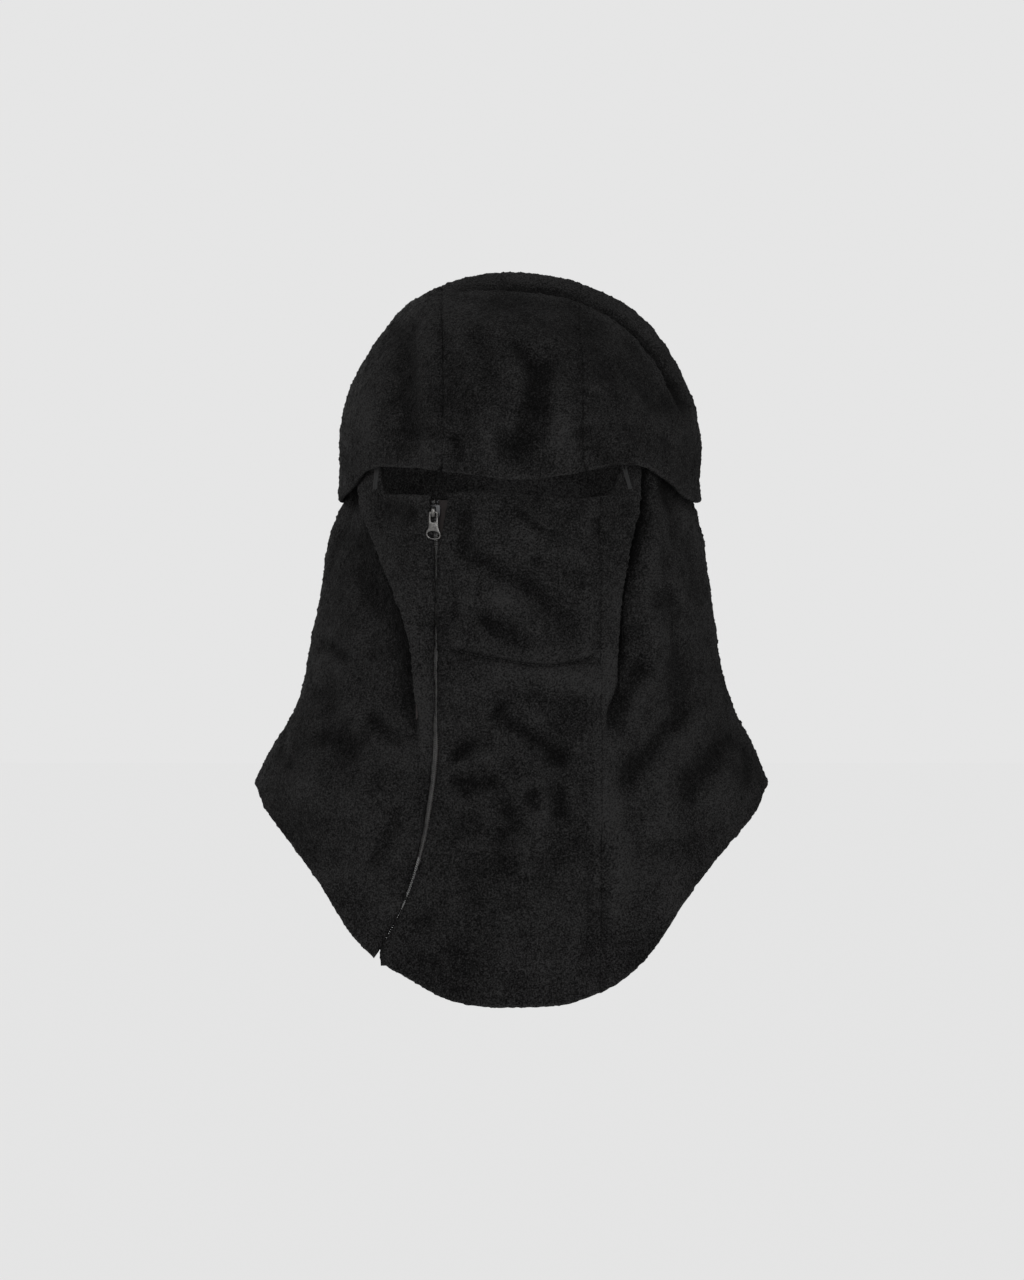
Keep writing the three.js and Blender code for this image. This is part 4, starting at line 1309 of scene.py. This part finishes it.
def pull_tab():
    """The pull tab: a frame round the crown, a short blade, and an oval ring that sits a little askew."""
    hole = superellipse(0, 3.3, 1.85, 3.0, 4.0, 28)
    ring = superellipse(0, 14.1, 3.95, 2.35, 2.1, 34)

    def place(a, l, n):
        l = l - 0.13 * a * float(fade(l, 9.5, 12))
        return PIVOT + ACROSS * a + ALONG * (l - 0.2) + OUT * n

    obj = plate("pull_tab_cast", mirrored(TAB_OUTLINE), [hole, ring], -0.48, 0.48, 0.26, place, gunmetal, 3)
    return finished(obj, "puller", "zip_metal", "pull_tab")


def slot_tape(side):
    """A narrow grey tape that stands between the drape's edge and the brim at an end of the slot."""
    lo, hi = box_mm(f"slot_tape_{side}")
    sign = -1 if side == "left" else 1
    v = np.linspace(0, 1, steps(hi[2] - lo[2], 1.2))
    if side == "left":
        width = 3.0 - 1.5 * v
        x_mid = hi[0] - 2.2 - 1.8 * v - 0.48 * np.sin(2.2 * v)
    else:
        width = 2.2 - 0.9 * v
        x_mid = lo[0] + 2.2 + 5.2 * v**1.2
    z = hi[2] - 0.5 + (lo[2] - hi[2] + 1) * v
    u = np.linspace(-1, 1, 7)
    x = x_mid[:, None] + width[:, None] / 2 * u[None, :]
    y = (lo[1] + hi[1]) / 2 + sign * 0.25 * (x - x_mid[:, None]) - 0.3 * u[None, :] ** 2 + 0 * x
    grid = np.stack([x, y, z[:, None] + 0 * x], -1)
    obj = cloth_piece(f"slot_tape_{side}_woven", grid, (HEM,) * 4, grey_tape, thickness=0.7, amount=0)
    return finished(obj, "garment", "grey_tape", f"slot_tape_{side}")


# ------------------------------------------------------------------ assembly

hood_pieces = [hood_centre(), hood_side("left"), hood_side("right")]
facing = brim_facing()
drape_pieces = drape_panels()
mouth = mouth_lining()
for side, sign in SIDES:
    zip_tape(side, sign)
    coil(side, sign)
    top_stop(side, sign)
bottom_stop()
slider()
crown()
spring()
pull_tab()
slot_tape("left")
slot_tape("right")
stitches_under_mouth()

# ------------------------------------------------------------------ studio

FLOOR_Z = -0.9
FLOOR_HALF = 60.0
BACKDROP = 0.79  # linear brightness of the pale studio
PALE = (BACKDROP, BACKDROP, BACKDROP, 1)
AMBIENT = 0.4  # share of it that lights the object
AIM = Vector((0, 0, -0.2))
SOFTBOXES = [  # name, place, power in watts, size in metres
    ("key", (-0.6, -3.0, 0.9), 37, 1.0),
    ("fill", (1.4, -3.0, -0.2), 10, 1.8),
    ("top", (0.1, 0.6, 1.9), 3, 1.5),
    ("rear", (-1.0, 3.0, 0.8), 30, 1.5),
]


def backdrop():
    """A pale world that looks brighter to the camera than it lights the object."""
    world = bpy.data.worlds.new("studio")
    bpy.context.scene.world = world
    world.use_nodes = True
    tree = world.node_tree
    seen = add(tree, "LightPath", "Is Camera Ray", {})
    strength = maths(tree, "ADD", maths(tree, "MULTIPLY", seen, 1 - AMBIENT), AMBIENT)
    feed(tree, tree.nodes["Background"], {"Color": PALE, "Strength": strength})


def floor():
    material, tree, shader = new_material("pale_floor")
    feed(tree, shader, {"Base Color": (0.02, 0.02, 0.02, 1), "Roughness": 1.0, "Specular IOR Level": 0.0,
                        "Emission Color": PALE, "Emission Strength": 0.98})
    mesh = bpy.data.meshes.new("floor")
    corners = [(x * FLOOR_HALF, y * FLOOR_HALF, FLOOR_Z) for x, y in ((-1, -1), (1, -1), (1, 1), (-1, 1))]
    mesh.from_pydata(corners, [], [(0, 1, 2, 3)])
    mesh.materials.append(material)
    linked("floor", mesh)


def lights():
    for name, place, power, size in SOFTBOXES:
        light = bpy.data.lights.new(name, "AREA")
        light.energy = power
        light.size = size
        aim = AIM - Vector(place)
        linked(name, light, place).rotation_euler = aim.to_track_quat("-Z", "Y").to_euler()
    inside = bpy.data.lights.new("inside", "POINT")
    inside.energy = 0.11
    inside.shadow_soft_size = 0.03
    linked("inside", inside, (0.004, 0.03, -0.118))


VIEW_HEIGHT = 0.8128  # metres, at the garment's front
LENS = 350.0
SENSOR = 36.0
CAMERA_Z = -0.2289


def camera():
    data = bpy.data.cameras.new("camera")
    data.lens = LENS
    data.sensor_width = SENSOR
    data.sensor_height = SENSOR
    data.clip_end = 100
    obj = linked("camera", data, (0, -VIEW_HEIGHT * LENS / SENSOR - 0.06, CAMERA_Z))
    obj.rotation_euler = (math.pi / 2, 0, 0)
    bpy.context.scene.camera = obj


camera()
backdrop()
floor()
lights()
bpy.context.scene.view_settings.view_transform = "Standard"
